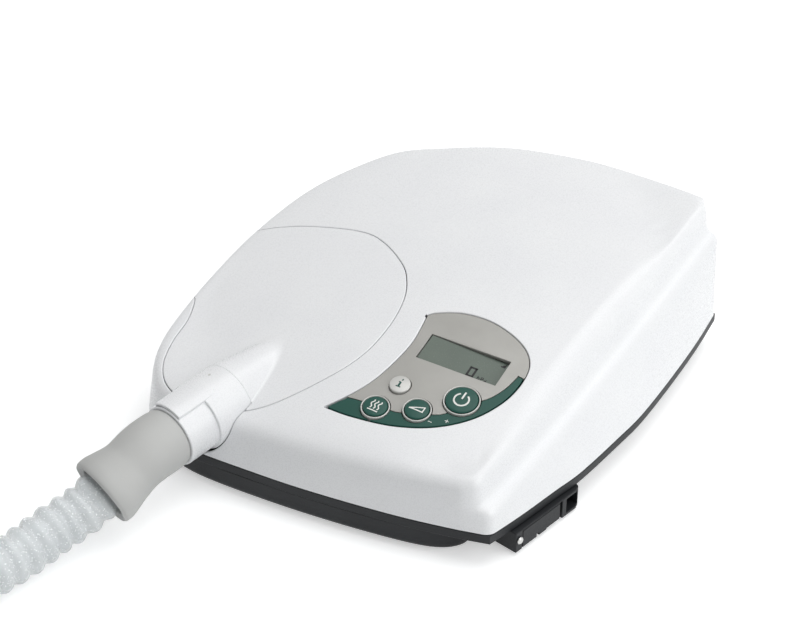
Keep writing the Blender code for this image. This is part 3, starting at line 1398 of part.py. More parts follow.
def make_filters():
    """Fine and coarse filter pads behind the door."""
    top = HOUSING_BOTTOM - 2 * SEAM_GAP - LIP_HEIGHT
    height = top - BAY_BOTTOM - 2 * BAY_SILL - 2 * SEAM_GAP
    centre = (top + BAY_BOTTOM) / 2
    middle = DOOR_START + DOOR_LENGTH / 2 - FILTER_SHIFT
    size = (FILTER_DEPTH, DOOR_LENGTH - FILTER_MARGIN - 2 * SEAM_GAP, height)
    first = -DOOR_THICKNESS - 3 * SEAM_GAP - FILTER_DEPTH / 2
    second = first - FILTER_DEPTH - SEAM_GAP
    part("coarse_filter", box_mesh(size, (first, middle, centre)), "foam_grey", place=bay_frame())
    part("fine_filter", box_mesh(size, (second, middle, centre)), "filter_white", place=bay_frame())


def make_inlet():
    """Two pins at the back of the mains inlet, and the small screw in the bay's post."""
    top = HOUSING_BOTTOM - 2 * SEAM_GAP - LIP_HEIGHT
    centre = (top + BAY_BOTTOM) / 2
    profile = [(0.0, PIN_LENGTH), (PIN_RADIUS, PIN_LENGTH), (PIN_RADIUS, 0.0), (0.0, 0.0)]
    for sign, name in ((-1, "mains_pin_front"), (1, "mains_pin_back")):
        y = INLET_START + INLET_WIDTH / 2 + sign * PIN_SPACING / 2
        place = Matrix.Translation((-INLET_DEPTH + SEAM_GAP, y, centre)) @ Matrix.Rotation(math.pi / 2, 4, "Y")
        part(name, turned_mesh(profile, 10), "steel", place=bay_frame() @ place)
    high, edge = SMALL_SCREW_HEIGHT, SMALL_SCREW_RADIUS
    profile = [(0.0, high), (edge * 0.7, high), (edge, high * 0.45), (edge, 0.0), (0.0, 0.0)]
    place = Matrix.Translation((SEAM_GAP, DOOR_START * 0.45, centre + high)) @ Matrix.Rotation(math.pi / 2, 4, "Y")
    part("bay_screw", turned_mesh(profile, 12), "steel", place=bay_frame() @ place)


def make_blower():
    """Blower: two halves of the case, motor, impeller and rubber mounts."""
    place = Matrix.Translation(blower_place())
    radius, wall = BLOWER_RADIUS, BLOWER_WALL
    low, rim = BLOWER_BOTTOM, BLOWER_SPLIT - SEAM_GAP / 2
    lower = [(0.0, low + wall), (radius - wall * 3, low + wall), (radius - wall, low + wall * 3), (radius - wall, rim),
             (radius, rim), (radius, low + wall * 2), (radius - wall * 2, low), (0.0, low)]
    part("blower_lower_case", turned_mesh(lower), "inner_grey", place=place)
    eye, high, start = BLOWER_EYE_RADIUS, BLOWER_TOP, BLOWER_SPLIT + SEAM_GAP / 2
    upper = [(eye, high), (radius - wall * 2, high), (radius, high - wall * 2), (radius, start), (radius - wall, start),
             (radius - wall, high - wall * 3), (radius - wall * 3, high - wall), (eye, high - wall)]
    part("blower_upper_case", turned_mesh(upper, closed=True), "inner_grey", place=place)
    floor = BLOWER_BOTTOM + wall + SEAM_GAP
    motor_top = floor + MOTOR_HEIGHT
    bore, bore_floor = SHAFT_RADIUS + SEAM_GAP, motor_top - MOTOR_BORE_DEPTH
    motor = [(0.0, bore_floor), (bore, bore_floor), (bore, motor_top), (MOTOR_RADIUS, motor_top), (MOTOR_RADIUS, floor),
             (0.0, floor)]
    part("motor", turned_mesh(motor, 24), "steel", place=place)
    make_impeller(motor_top)
    make_mounts(place)


def blower_place():
    """Middle of the blower in plan."""
    return in_plan([BLOWER_PLACE_SHARES])[0]


def make_impeller(motor_top):
    """Impeller with curved blades on a disc, on the motor's shaft."""
    place = Matrix.Translation(blower_place() + Vector((0.0, 0.0, motor_top + IMPELLER_LIFT)))
    hub, edge, disc = BLADE_HEIGHT * 0.6, IMPELLER_RADIUS, IMPELLER_DISC
    profile = [(0.0, hub), (HUB_RADIUS, hub), (HUB_FOOT_RADIUS, disc), (edge, disc), (edge, 0.0), (SHAFT_RADIUS, 0.0),
               (SHAFT_RADIUS, -SHAFT_DEPTH), (0.0, -SHAFT_DEPTH)]
    made = part("impeller", turned_mesh(profile), "filter_white", place=place)
    blades = []
    for i in range(BLADE_COUNT):
        blades.append(moved(blade_mesh(), Matrix.Rotation(2 * math.pi * i / BLADE_COUNT, 4, "Z")))
    fan = cutter("blades", joined(blades), place=place)
    combine(made, fan, "UNION")
    return settle(made)


def blade_mesh():
    """One backward-curved blade."""
    line = []
    for i in range(6):
        share = i / 5
        reach = IMPELLER_RADIUS * (0.28 + 0.68 * share)
        swing = math.radians(48) * share * share
        line.append(Vector((reach * math.cos(swing), reach * math.sin(swing), 0.0)))
    sides = []
    for sign in (1, -1):
        edge = []
        for i, p in enumerate(line):
            along = (line[min(i + 1, 5)] - line[max(i - 1, 0)]).normalized()
            edge.append((p.x - along.y * sign * BLADE_THICKNESS / 2, p.y + along.x * sign * BLADE_THICKNESS / 2))
        sides.append(edge)
    low, high = IMPELLER_DISC * 0.5, IMPELLER_DISC + BLADE_HEIGHT
    return plate_mesh([sides[0] + sides[1][::-1]], high - low, (high + low) / 2)


def make_mounts(place):
    """Rubber mounts between the blower and the tray."""
    low = HULL_BOTTOM + TRAY_WALL + SEAM_GAP
    high = BLOWER_BOTTOM - SEAM_GAP
    for i in range(MOUNT_COUNT):
        angle = 2 * math.pi * i / MOUNT_COUNT + math.pi / 2
        reach = BLOWER_RADIUS * 0.7
        waist, middle = MOUNT_RADIUS * 0.8, (high + low) / 2
        profile = [(0.0, high), (waist, high), (MOUNT_RADIUS, middle), (waist, low), (0.0, low)]
        spot = Matrix.Translation((reach * math.cos(angle), reach * math.sin(angle), 0.0))
        part("blower_mount_%d" % (i + 1), turned_mesh(profile, 14), "rubber_black", place=place @ spot)


def make_duct():
    """Rubber duct from the blower to the outlet socket."""
    along = nozzle_direction()
    back = seam_place() - along * (SOCKET_DEPTH + SEAM_GAP)
    out = Vector((math.cos(DUCT_ANGLE), math.sin(DUCT_ANGLE), 0.0))
    reach = BLOWER_RADIUS + SEAM_GAP
    port = blower_place() + Vector((0.0, 0.0, DUCT_HEIGHT)) + out * reach
    points = [back, back - along * DUCT_STRAIGHT, back - along * DUCT_STRAIGHT * 3 - Vector((0.0, 0.0, DUCT_DROP)),
              port + out * DUCT_STRAIGHT * 2, port + out * DUCT_STRAIGHT, port]
    line = smooth_curve(points, DUCT_POINTS)
    made = part("outlet_duct", tube_mesh(line, [DUCT_RADIUS] * DUCT_POINTS, 4), "rubber_black")
    line[0] = line[0] + (line[0] - line[1]).normalized() * OVERRUN
    line[-1] = line[-1] + (line[-1] - line[-2]).normalized() * OVERRUN
    combine(made, cutter("duct_bore", tube_mesh(line, [DUCT_RADIUS - DUCT_WALL] * DUCT_POINTS, 4)))
    return settle(made)


def make_supply():
    """Power supply board with its transformer, capacitor and finned heat sink."""
    base = HULL_BOTTOM + TRAY_WALL + SEAM_GAP
    board = base + SUPPLY_HEIGHT
    spot = in_plan([SUPPLY_PLACE_SHARES])[0]
    middle = spot + Vector((0.0, 0.0, board + BOARD_THICKNESS / 2))
    made = part("power_supply_board", box_mesh((SUPPLY_WIDTH, SUPPLY_LENGTH, BOARD_THICKNESS), middle), "board_green")
    height = SUPPLY_HEIGHT + BOARD_THICKNESS / 2
    for i, (sx, sy) in enumerate(((-1, -1), (1, -1), (-1, 1), (1, 1))):
        foot = spot + Vector((sx * SUPPLY_WIDTH * 0.42, sy * SUPPLY_LENGTH * 0.42, base + height / 2))
        pillar = cutter("pillar_%d" % i, box_mesh((PILLAR_SIZE, PILLAR_SIZE, height), foot))
        combine(made, pillar, "UNION")
    settle(made)
    top = board + BOARD_THICKNESS + SEAM_GAP
    size = TRANSFORMER_SIZE
    block = (size, size, size * 0.7)
    middle = on_supply(TRANSFORMER_PLACE_SHARES, top + size * 0.35)
    part("transformer", box_mesh(block, middle, TRANSFORMER_BEVEL), "copper")
    radius, high = CAPACITOR_RADIUS, CAPACITOR_HEIGHT
    profile = [(0.0, high), (radius * 0.9, high), (radius, high * 0.96), (radius, 0.0), (0.0, 0.0)]
    place = Matrix.Translation(on_supply(CAPACITOR_PLACE_SHARES, top))
    part("capacitor", turned_mesh(profile, 18), "display_grey", place=place)
    make_heat_sink(top)


def on_supply(shares, height):
    """A point over the supply board, by shares of its width and length."""
    spot = in_plan([SUPPLY_PLACE_SHARES])[0]
    return spot + Vector((shares[0] * SUPPLY_WIDTH, shares[1] * SUPPLY_LENGTH, height))


def make_heat_sink(top):
    """Heat sink with upright fins, a comb outline drawn out along the board."""
    comb = []
    for i in range(HEAT_SINK_FINS):
        x = i * HEAT_SINK_PITCH
        comb += [(x, FIN_THICKNESS), (x, HEAT_SINK_HEIGHT)]
        comb += [(x + FIN_THICKNESS, HEAT_SINK_HEIGHT), (x + FIN_THICKNESS, FIN_THICKNESS)]
    outline = [(0.0, 0.0)] + comb[1:-1] + [((HEAT_SINK_FINS - 1) * HEAT_SINK_PITCH + FIN_THICKNESS, 0.0)]
    turn = Matrix.Rotation(math.pi / 2, 4, "X")
    place = Matrix.Translation(on_supply(HEAT_SINK_PLACE_SHARES, top)) @ turn
    part("heat_sink", plate_mesh([outline], HEAT_SINK_LENGTH), "steel", place=place)


def make_silencer():
    """Foam block that quietens the intake, between the filter bay and the blower."""
    base = HULL_BOTTOM + TRAY_WALL + SEAM_GAP
    middle = in_plan([FOAM_PLACE_SHARES])[0] + Vector((0.0, 0.0, base + FOAM_HEIGHT / 2))
    part("intake_foam", box_mesh((FOAM_WIDTH, FOAM_LENGTH, FOAM_HEIGHT), middle, FOAM_BEVEL), "foam_grey")


def make_data_socket():
    """Data socket in the back wall: a small cup with its mouth to the back."""
    width, depth, height = DATA_SOCKET_WIDTH - 2 * SEAM_GAP, DATA_SOCKET_DEPTH, DATA_SOCKET_HEIGHT - 2 * SEAM_GAP
    spot = in_plan([DATA_SOCKET_PLACE_SHARES])[0] - Vector((0.0, depth / 2, -DATA_SOCKET_Z))
    outer = box_mesh((width, depth, height), (0.0, 0.0, 0.0))
    made = part("data_socket", outer, "tray_black", place=Matrix.Translation(spot))
    walls = 2 * DATA_SOCKET_WALL
    hollow = box_mesh((width - walls, depth, height - walls), (0.0, DATA_SOCKET_MOUTH, 0.0))
    combine(made, cutter("data_hollow", hollow, parent=made))
    return settle(made)


def stand_on_footprint():
    """Set the frame so that the middle of the machine's own footprint is the origin."""
    bpy.context.view_layer.update()
    cord = {"hose", "hose_coil", "hose_cuff", "far_cuff", "hose_tie"}
    own = [found for found in PARTS.objects if found.type == "MESH" and found.name not in cord]
    corners = [found.matrix_world @ Vector(c) for found in own for c in found.bound_box]
    low = [min(c[k] for c in corners) for k in range(3)]
    high = [max(c[k] for c in corners) for k in range(3)]
    FRAME.location = (-(low[0] + high[0]) / 2, -(low[1] + high[1]) / 2, -low[2])
    print("footprint", [round(v, 5) for v in low], [round(v, 5) for v in high])
    print("shift", [round(v, 5) for v in FRAME.location])


def build():
    """Make every sub-part, then set the origin."""
    skin = housing_skin_mesh()
    make_housing(skin)
    make_cover(skin)
    make_tray()
    make_screws()
    make_feet()
    make_socket()
    make_collar()
    make_near_cuff()
    coil = make_hose()
    make_far_cuff(coil)
    make_tie()
    make_panel()
    make_bay()
    make_door()
    make_filters()
    make_inlet()
    make_blower()
    make_duct()
    make_supply()
    make_silencer()
    make_data_socket()
    stand_on_footprint()


build()
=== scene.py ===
# %% [markdown]
# This lesson dresses a bedside air-pressure machine: a low white housing on a dark tray, an outlet
# cover with a turning collar, a keypad with a display, and 1.8 m of ribbed hose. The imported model
# gives every place and size, and each visible piece is made again over it with finer edges.

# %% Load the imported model
import math

import bmesh
import bpy
from mathutils import Matrix, Vector
from mathutils.bvhtree import BVHTree
from mathutils.geometry import delaunay_2d_cdt
from mathutils.interpolate import poly_3d_calc


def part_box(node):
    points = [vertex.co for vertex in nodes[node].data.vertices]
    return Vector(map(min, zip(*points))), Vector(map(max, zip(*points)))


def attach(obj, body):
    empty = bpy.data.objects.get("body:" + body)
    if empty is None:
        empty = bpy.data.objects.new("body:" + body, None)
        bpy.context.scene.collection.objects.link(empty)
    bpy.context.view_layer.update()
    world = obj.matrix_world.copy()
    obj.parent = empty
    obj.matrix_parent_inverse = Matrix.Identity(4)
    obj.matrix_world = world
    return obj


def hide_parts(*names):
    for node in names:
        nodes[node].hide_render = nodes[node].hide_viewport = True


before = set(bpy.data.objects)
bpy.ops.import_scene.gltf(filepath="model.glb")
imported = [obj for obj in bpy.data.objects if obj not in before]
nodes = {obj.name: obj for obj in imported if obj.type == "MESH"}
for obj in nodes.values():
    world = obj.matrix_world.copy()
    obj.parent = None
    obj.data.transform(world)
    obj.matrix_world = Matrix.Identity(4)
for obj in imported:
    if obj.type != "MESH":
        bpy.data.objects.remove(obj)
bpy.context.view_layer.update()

# %% [markdown]
# The housing is drawn from a plan outline whose points are shares of its width and depth, so its
# middle is the natural origin. The frame stands the machine on its footprint instead, so we read
# where the housing's middle came to lie and add that to every mesh at the last moment.

# %% Driving sizes and the middle of the housing
BODY_WIDTH = 0.2020
BODY_DEPTH = 0.2251
HOUSING_BOTTOM = 0.0170     # where the white housing meets the tray
SEAM_GAP = 0.0003

housing_low, housing_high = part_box("top_housing")
MIDDLE = Vector((housing_high.x - BODY_WIDTH / 2, housing_low.y + BODY_DEPTH / 2, 0.0))
print("middle of the housing", [round(v, 5) for v in MIDDLE])


# %% [markdown]
# The camera stands at the photograph's angle: to the right of the front, looking down by about
# 34 degrees through a long lens, so that the sides of the machine hardly converge. It is placed
# from the housing's middle, and its frame is the photograph's.

# %% Camera
CAMERA_PLACE = Vector((0.3555, -0.6672, 0.5480))
CAMERA_TARGET = Vector((-0.0421, 0.0414, 0.0))
LENS_MM = 90.0
SENSOR_MM = 36.0


def aimed(made, place, target):
    """Stand a camera or lamp at a place and turn it to a target."""
    made.location = place
    made.rotation_euler = (target - place).to_track_quat("-Z", "Y").to_euler()
    bpy.context.scene.collection.objects.link(made)
    return made


lens = bpy.data.cameras.new("photo_camera")
lens.lens = LENS_MM
lens.sensor_width = SENSOR_MM
camera = aimed(bpy.data.objects.new("photo_camera", lens), CAMERA_PLACE + MIDDLE, CAMERA_TARGET + MIDDLE)
bpy.context.scene.camera = camera
bpy.context.scene.view_settings.view_transform = "Standard"
print("camera", [round(v, 4) for v in camera.location])

# %% [markdown]
# The picture is a studio cut-out: soft light from above and from the right, and a white floor that
# keeps only a faint shadow. The lamps stay low enough that white plastic doesn't clip. The floor
# reaches pure white because, for rays from the camera, it glows a little by itself.

# %% Lamps, world and floor
LAMPS = {
    "top_softbox": (Vector((0.30, 0.35, 1.50)), 1.40, 12.6),
    "right_softbox": (Vector((1.25, -0.10, 0.75)), 1.00, 7.5),
    "left_softbox": (Vector((-1.20, 0.20, 0.90)), 1.00, 0.8),
}
WORLD_STRENGTH = 0.42
FLOOR_SIZE = 6.0
FLOOR_GLOW = 0.44
FLOOR_WHITE = (0.86, 0.87, 0.875, 1.0)

for lamp_name, (lamp_place, lamp_size, lamp_power) in LAMPS.items():
    lamp = bpy.data.lights.new(lamp_name, "AREA")
    lamp.size = lamp_size
    lamp.energy = lamp_power
    aimed(bpy.data.objects.new(lamp_name, lamp), lamp_place + MIDDLE, MIDDLE)


def rays_that_see_white(tree):
    """A socket that is 1 for camera, mirror and glass rays, and 0 for the rest."""
    path = tree.nodes.new("ShaderNodeLightPath")
    first = tree.nodes.new("ShaderNodeMath")
    first.operation = "MAXIMUM"
    tree.links.new(path.outputs["Is Camera Ray"], first.inputs[0])
    tree.links.new(path.outputs["Is Glossy Ray"], first.inputs[1])
    second = tree.nodes.new("ShaderNodeMath")
    second.operation = "MAXIMUM"
    tree.links.new(first.outputs[0], second.inputs[0])
    tree.links.new(path.outputs["Is Transmission Ray"], second.inputs[1])
    return second.outputs[0]


def studio_world():
    """A white world that lights the object at a plain level and is seen as pure white."""
    world = bpy.data.worlds.new("studio")
    bpy.context.scene.world = world
    world.use_nodes = True
    tree = world.node_tree
    ground = tree.nodes["Background"]
    ground.inputs["Color"].default_value = (1.0, 1.0, 1.0, 1.0)
    level = tree.nodes.new("ShaderNodeMapRange")
    level.inputs["To Min"].default_value = WORLD_STRENGTH
    level.inputs["To Max"].default_value = 1.0
    tree.links.new(rays_that_see_white(tree), level.inputs["Value"])
    tree.links.new(level.outputs["Result"], ground.inputs["Strength"])


def studio_floor():
    """A plain white floor with its glow for camera, mirror and glass rays."""
    mesh = bpy.data.meshes.new("studio_floor")
    half = FLOOR_SIZE / 2
    corners = [(-half, -half, 0.0), (half, -half, 0.0), (half, half, 0.0), (-half, half, 0.0)]
    mesh.from_pydata(corners, [], [(0, 1, 2, 3)])
    made = bpy.data.objects.new("studio_floor", mesh)
    bpy.context.scene.collection.objects.link(made)
    paint = bpy.data.materials.new("floor_white")
    paint.use_nodes = True
    tree = paint.node_tree
    tree.nodes.remove(tree.nodes["Principled BSDF"])
    matt = tree.nodes.new("ShaderNodeBsdfDiffuse")
    matt.inputs["Color"].default_value = FLOOR_WHITE
    glow = tree.nodes.new("ShaderNodeEmission")
    reach = tree.nodes.new("ShaderNodeMapRange")
    reach.inputs["To Max"].default_value = FLOOR_GLOW
    tree.links.new(rays_that_see_white(tree), reach.inputs["Value"])
    tree.links.new(reach.outputs["Result"], glow.inputs["Strength"])
    both = tree.nodes.new("ShaderNodeAddShader")
    tree.links.new(matt.outputs[0], both.inputs[0])
    tree.links.new(glow.outputs[0], both.inputs[1])
    tree.links.new(both.outputs[0], tree.nodes["Material Output"].inputs["Surface"])
    mesh.materials.append(paint)


studio_world()
studio_floor()
print("lamps", sorted(LAMPS))

# %% [markdown]
# Every finish here is moulded, painted or pressed, and each real one has some detail: a fine
# grain, a slight change of colour and an uneven sheen. One function builds that from noise in
# object space, so it also works on meshes without texture coordinates. What is the same all over
# a surface goes on the shader's own sockets.

# %% Finishes from noise
NOISE_SPREAD = (0.3, 0.7)       # the part of the noise's range that is used
BUMP_STRENGTH = 0.35


def noise_in(tree, scale, detail=3.0):
    """Noise in object space; the scale is in patches a metre."""
    where = tree.nodes.new("ShaderNodeTexCoord")
    noise = tree.nodes.new("ShaderNodeTexNoise")
    noise.inputs["Scale"].default_value = scale
    noise.inputs["Detail"].default_value = detail
    tree.links.new(where.outputs["Object"], noise.inputs["Vector"])
    return noise.outputs["Fac"]


def between(tree, factor, low, high):
    """A number that moves between two values with the noise."""
    level = tree.nodes.new("ShaderNodeMapRange")
    level.inputs["From Min"].default_value = NOISE_SPREAD[0]
    level.inputs["From Max"].default_value = NOISE_SPREAD[1]
    level.inputs["To Min"].default_value = low
    level.inputs["To Max"].default_value = high
    tree.links.new(factor, level.inputs["Value"])
    return level.outputs["Result"]


def finish(name, light, dark, sheen, patch=40.0, grain=1800.0, relief=0.00002, **sockets):
    """A finish whose colour and sheen vary in patches and whose surface has a fine grain."""
    made = bpy.data.materials.new(name)
    made.use_nodes = True
    tree = made.node_tree
    shader = tree.nodes["Principled BSDF"]
    patches = noise_in(tree, patch)
    mix = tree.nodes.new("ShaderNodeMix")
    mix.data_type = "RGBA"
    mix.inputs["A"].default_value = (*dark, 1.0)
    mix.inputs["B"].default_value = (*light, 1.0)
    tree.links.new(between(tree, patches, 0.0, 1.0), mix.inputs["Factor"])
    tree.links.new(mix.outputs["Result"], shader.inputs["Base Color"])
    grains = noise_in(tree, grain, 2.0)
    tree.links.new(between(tree, grains, *sheen), shader.inputs["Roughness"])
    bump = tree.nodes.new("ShaderNodeBump")
    bump.inputs["Strength"].default_value = BUMP_STRENGTH
    bump.inputs["Distance"].default_value = relief
    tree.links.new(grains, bump.inputs["Height"])
    tree.links.new(bump.outputs["Normal"], shader.inputs["Normal"])
    for socket, value in sockets.items():
        shader.inputs[socket.replace("_", " ").title().replace("Ior", "IOR")].default_value = value
    return made


# Light and dark colour, span of roughness, and what differs from the usual
FINISH_TABLE = {
    "housing_white": ((0.80, 0.81, 0.82), (0.775, 0.785, 0.80), (0.24, 0.32), {"relief": 0.000006}),
    "tray_black": ((0.014, 0.016, 0.018), (0.010, 0.011, 0.013), (0.42, 0.56),
                   {"relief": 0.00004, "specular_ior_level": 0.30}),
    "panel_silver": ((0.36, 0.355, 0.335), (0.32, 0.315, 0.295), (0.36, 0.46),
                     {"patch": 60.0, "grain": 4000.0, "metallic": 0.25}),
    "key_green": ((0.006, 0.070, 0.052), (0.004, 0.058, 0.043), (0.28, 0.36), {"specular_ior_level": 0.30}),
    "ring_grey": ((0.55, 0.55, 0.53), (0.47, 0.47, 0.45), (0.30, 0.40), {"metallic": 0.2}),
    "display_grey": ((0.115, 0.145, 0.120), (0.098, 0.125, 0.104), (0.22, 0.28),
                     {"specular_ior_level": 0.35}),
    "cuff_grey": ((0.50, 0.505, 0.495), (0.455, 0.46, 0.45), (0.55, 0.68), {"relief": 0.00005}),
    "rubber_black": ((0.022, 0.022, 0.023), (0.014, 0.014, 0.015), (0.70, 0.85), {"relief": 0.0001}),
    "steel": ((0.62, 0.62, 0.61), (0.48, 0.48, 0.47), (0.22, 0.36), {"metallic": 1.0}),
    "board_green": ((0.02, 0.15, 0.07), (0.015, 0.11, 0.05), (0.35, 0.5), {"patch": 300.0}),
    "foam_grey": ((0.20, 0.20, 0.21), (0.11, 0.11, 0.12), (0.88, 0.98),
                  {"patch": 900.0, "grain": 900.0, "relief": 0.0006}),
    "filter_white": ((0.84, 0.84, 0.81), (0.72, 0.72, 0.69), (0.82, 0.95),
                     {"patch": 700.0, "grain": 2500.0, "relief": 0.0002}),
    "copper": ((0.72, 0.36, 0.20), (0.55, 0.26, 0.14), (0.28, 0.4), {"patch": 500.0, "metallic": 1.0}),
    "inner_grey": ((0.37, 0.38, 0.39), (0.31, 0.32, 0.33), (0.45, 0.58), {}),
    "hose_clear": ((0.93, 0.95, 0.955), (0.88, 0.905, 0.915), (0.16, 0.28),
                   {"transmission_weight": 0.72, "ior": 1.38}),
}
FINISHES = {name: finish(name, *values, **extra) for name, (*values, extra) in FINISH_TABLE.items()}
print("finishes", len(FINISHES))

# %% [markdown]
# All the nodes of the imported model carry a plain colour. We hand each one the finish of its slot,
# also the ones inside, because somebody may open the housing. Nodes that stay in view later get a
# finer mesh over them.

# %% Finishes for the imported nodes
for node in nodes.values():
    for place, slot in enumerate(node.material_slots):
        slot_name = next((s for s in FINISHES if s in slot.material.name), None)
        if slot_name:
            node.material_slots[place].material = FINISHES[slot_name]
print("dressed", sum(1 for n in nodes.values() if n.material_slots[0].material in FINISHES.values()))

# %% [markdown]
# Curves come up all through this machine: its plan, its seams, the hose. A curve through a few
# listed points, read again at equal steps, keeps those lists short and the meshes even.

# %% Curves through points
CURVE_STEPS = 24            # straight pieces between two points of a curve


def smooth_line(points, count, closed=False):
    """Read a smooth curve through points at equal steps of its length."""
    points = [Vector(p) for p in points]
    last = len(points)
    spans = last if closed else last - 1
    dense = []
    for i in range(spans):
        if closed:
            a, b, c, d = (points[(i + k) % last] for k in (-1, 0, 1, 2))
        else:
            a, b, c, d = (points[min(max(i + k, 0), last - 1)] for k in (-1, 0, 1, 2))
            if i == 0:
                a = 2 * b - c
            if i == spans - 1:
                d = 2 * c - b
        for step in range(CURVE_STEPS):
            t = step / CURVE_STEPS
            bend, twist = 2 * a - 5 * b + 4 * c - d, 3 * b - a - 3 * c + d
            dense.append(0.5 * (2 * b + (c - a) * t + bend * t * t + twist * t ** 3))
    dense.append(points[0].copy() if closed else points[-1].copy())
    return even_steps(dense, count, closed)


def even_steps(dense, count, closed=False):
    """Points at equal steps along a dense line."""
    lengths = [0.0]
    for a, b in zip(dense, dense[1:]):
        lengths.append(lengths[-1] + (b - a).length)
    steps = count if closed else count - 1
    found = []
    j = 0
    for i in range(count):
        goal = lengths[-1] * i / steps
        while j < len(dense) - 2 and lengths[j + 1] < goal:
            j += 1
        span = lengths[j + 1] - lengths[j]
        share = (goal - lengths[j]) / span if span else 0.0
        found.append(dense[j].lerp(dense[j + 1], min(share, 1.0)))
    return found


def length_of(line):
    """Length of a line of points."""
    return sum((b - a).length for a, b in zip(line, line[1:]))


def soft_corners(points, sizes, steps=4):
    """Round the inner points of an open line; sizes give how far each rounding reaches."""
    points = [Vector(p) for p in points]
    found = [points[0]]
    for i in range(1, len(points) - 1):
        corner = points[i]
        size = sizes[i - 1] if isinstance(sizes, (list, tuple)) else sizes
        back, ahead = points[i - 1] - corner, points[i + 1] - corner
        start = corner + back.normalized() * min(size, back.length * 0.49)
        end = corner + ahead.normalized() * min(size, ahead.length * 0.49)
        for k in range(steps + 1):
            t = k / steps
            found.append(start * (1 - t) ** 2 + corner * (2 * t * (1 - t)) + end * t * t)
    found.append(points[-1])
    return found


# %% [markdown]
# Pieces are plain meshes of points and faces. This helper moves them to the frame, gives them
# their finish and slot, and hands them to the body that they move with. The weighted normals keep
# wide faces flat beside small roundings.

# %% Make a piece


def piece(name, mesh, slot, body="machine", replaces=(), sharp=40.0, weighted=True):
    """A visible piece from a mesh that is drawn from the housing's middle."""
    mesh.name = name
    mesh.transform(Matrix.Translation(MIDDLE))
    mesh.materials.clear()
    mesh.materials.append(FINISHES[slot])
    made = bpy.data.objects.new(name, mesh)
    bpy.context.scene.collection.objects.link(made)
    if sharp:
        mesh.shade_smooth()
        mesh.set_sharp_from_angle(angle=math.radians(sharp))
    if weighted:
        even = made.modifiers.new("even_shading", "WEIGHTED_NORMAL")
        even.keep_sharp = True
    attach(made, body)
    if replaces:
        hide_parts(*replaces)
    return made


def mesh_of(points, faces, place=None):
    """A mesh from points and faces, welded and facing out."""
    mesh = bpy.data.meshes.new("draft")
    mesh.from_pydata([tuple(p) for p in points], [], faces)
    work = bmesh.new()
    work.from_mesh(mesh)
    bmesh.ops.remove_doubles(work, verts=work.verts, dist=1e-6)
    bmesh.ops.recalc_face_normals(work, faces=work.faces)
    work.to_mesh(mesh)
    work.free()
    if place is not None:
        mesh.transform(place)
    return mesh


def ring_faces(rings, count, closed=False):
    """Faces between rings of equal count."""
    faces = []
    for r in range(rings if closed else rings - 1):
        s = (r + 1) % rings
        for i in range(count):
            j = (i + 1) % count
            faces.append((r * count + i, r * count + j, s * count + j, s * count + i))
    return faces


def turned(profile, sides=64, closed=False, place=None):
    """A profile of (radius, height) turned about Z; a closed one makes a ring."""
    points = []
    for radius, height, *_ in profile:
        for i in range(sides):
            angle = 2 * math.pi * i / sides
            points.append((radius * math.cos(angle), radius * math.sin(angle), height))
    return mesh_of(points, ring_faces(len(profile), sides, closed), place)


def flat_profile(points, sizes, steps=4):
    """A (radius, height) profile with rounded inner corners."""
    return [(p.x, p.y) for p in soft_corners([(r, h, 0.0) for r, h in points], sizes, steps)]


# %% [markdown]
# The nozzle leaves the housing forwards, to the left and a little down. Everything on it, from the
# fairing to the hose's first cuff, is measured along this one axis from the ring-shaped seam.

# %% The nozzle's axis
SEAM_PLACE = Vector((-0.2653 * BODY_WIDTH, -0.4034 * BODY_DEPTH, 0.0342))
NOZZLE_HEADING = math.radians(13.0)
NOZZLE_PITCH = math.radians(4.5)
NOZZLE_WAY = Vector((-math.sin(NOZZLE_HEADING) * math.cos(NOZZLE_PITCH),
                     -math.cos(NOZZLE_HEADING) * math.cos(NOZZLE_PITCH), -math.sin(NOZZLE_PITCH)))
NECK_END = 0.0345


def nozzle_frame():
    """Matrix with its Z along the nozzle, outwards, at the seam ring, and its Y upwards."""
    side = Vector((0.0, 0.0, 1.0)).cross(NOZZLE_WAY).normalized()
    up = NOZZLE_WAY.cross(side)
    return Matrix.Translation(SEAM_PLACE) @ Matrix((side, up, NOZZLE_WAY)).transposed().to_4x4()


NOZZLE = nozzle_frame()
print("nozzle leaves", [round(v, 3) for v in NOZZLE_WAY])

# %% [markdown]
# The hose is one smooth line: straight out of its cuff, down to the table, past the left edge of
# the picture, and then round a neat coil just below it, where the length that nobody sees is put
# away. The coil's end climbs, so that its cuff lies on the other turns. The route repeats the
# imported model's points, and its real length, 1.8 m, decides how many turns the coil has.

# %% Route of the hose
HOSE_DIAMETER = 0.0224
HOSE_LENGTH = 1.8
CUFF_SEAT_DEPTH = 0.0090
CUFF_STRAIGHT = 0.0140
CUFF_LINE = ((-0.0141, -0.0584, 0.0262), (-0.0183, -0.0699, 0.0215))
HOSE_LINE = ((-0.0268, -0.0914, 0.0148), (-0.0341, -0.1182, 0.0118))
COIL_MIDDLE = (0.0606, -0.2954)
COIL_RADIUS = 0.1380
COIL_TURN_GAP = 0.0008
COIL_START = math.radians(164.76)
COIL_CLIMB = 0.0278
COIL_CLIMB_OUT = 0.0120
COIL_CLIMB_TURNS = 0.35
COIL_STEPS = 48             # points in one turn
TURNS_RANGE = (0.5, 4.0)    # where the number of turns is looked for
STRAIGHT_END = 0.0240
TIE_THICKNESS = 0.0016
TIE_WIDTH = 0.0140
TIE_ANGLE = math.radians(-60.0)
TIE_RAMP = math.radians(22.0)


def from_seam(offset):
    """A point given by its way from the seam ring in plan and its height over the table."""
    return Vector((SEAM_PLACE.x + offset[0], SEAM_PLACE.y + offset[1], offset[2]))


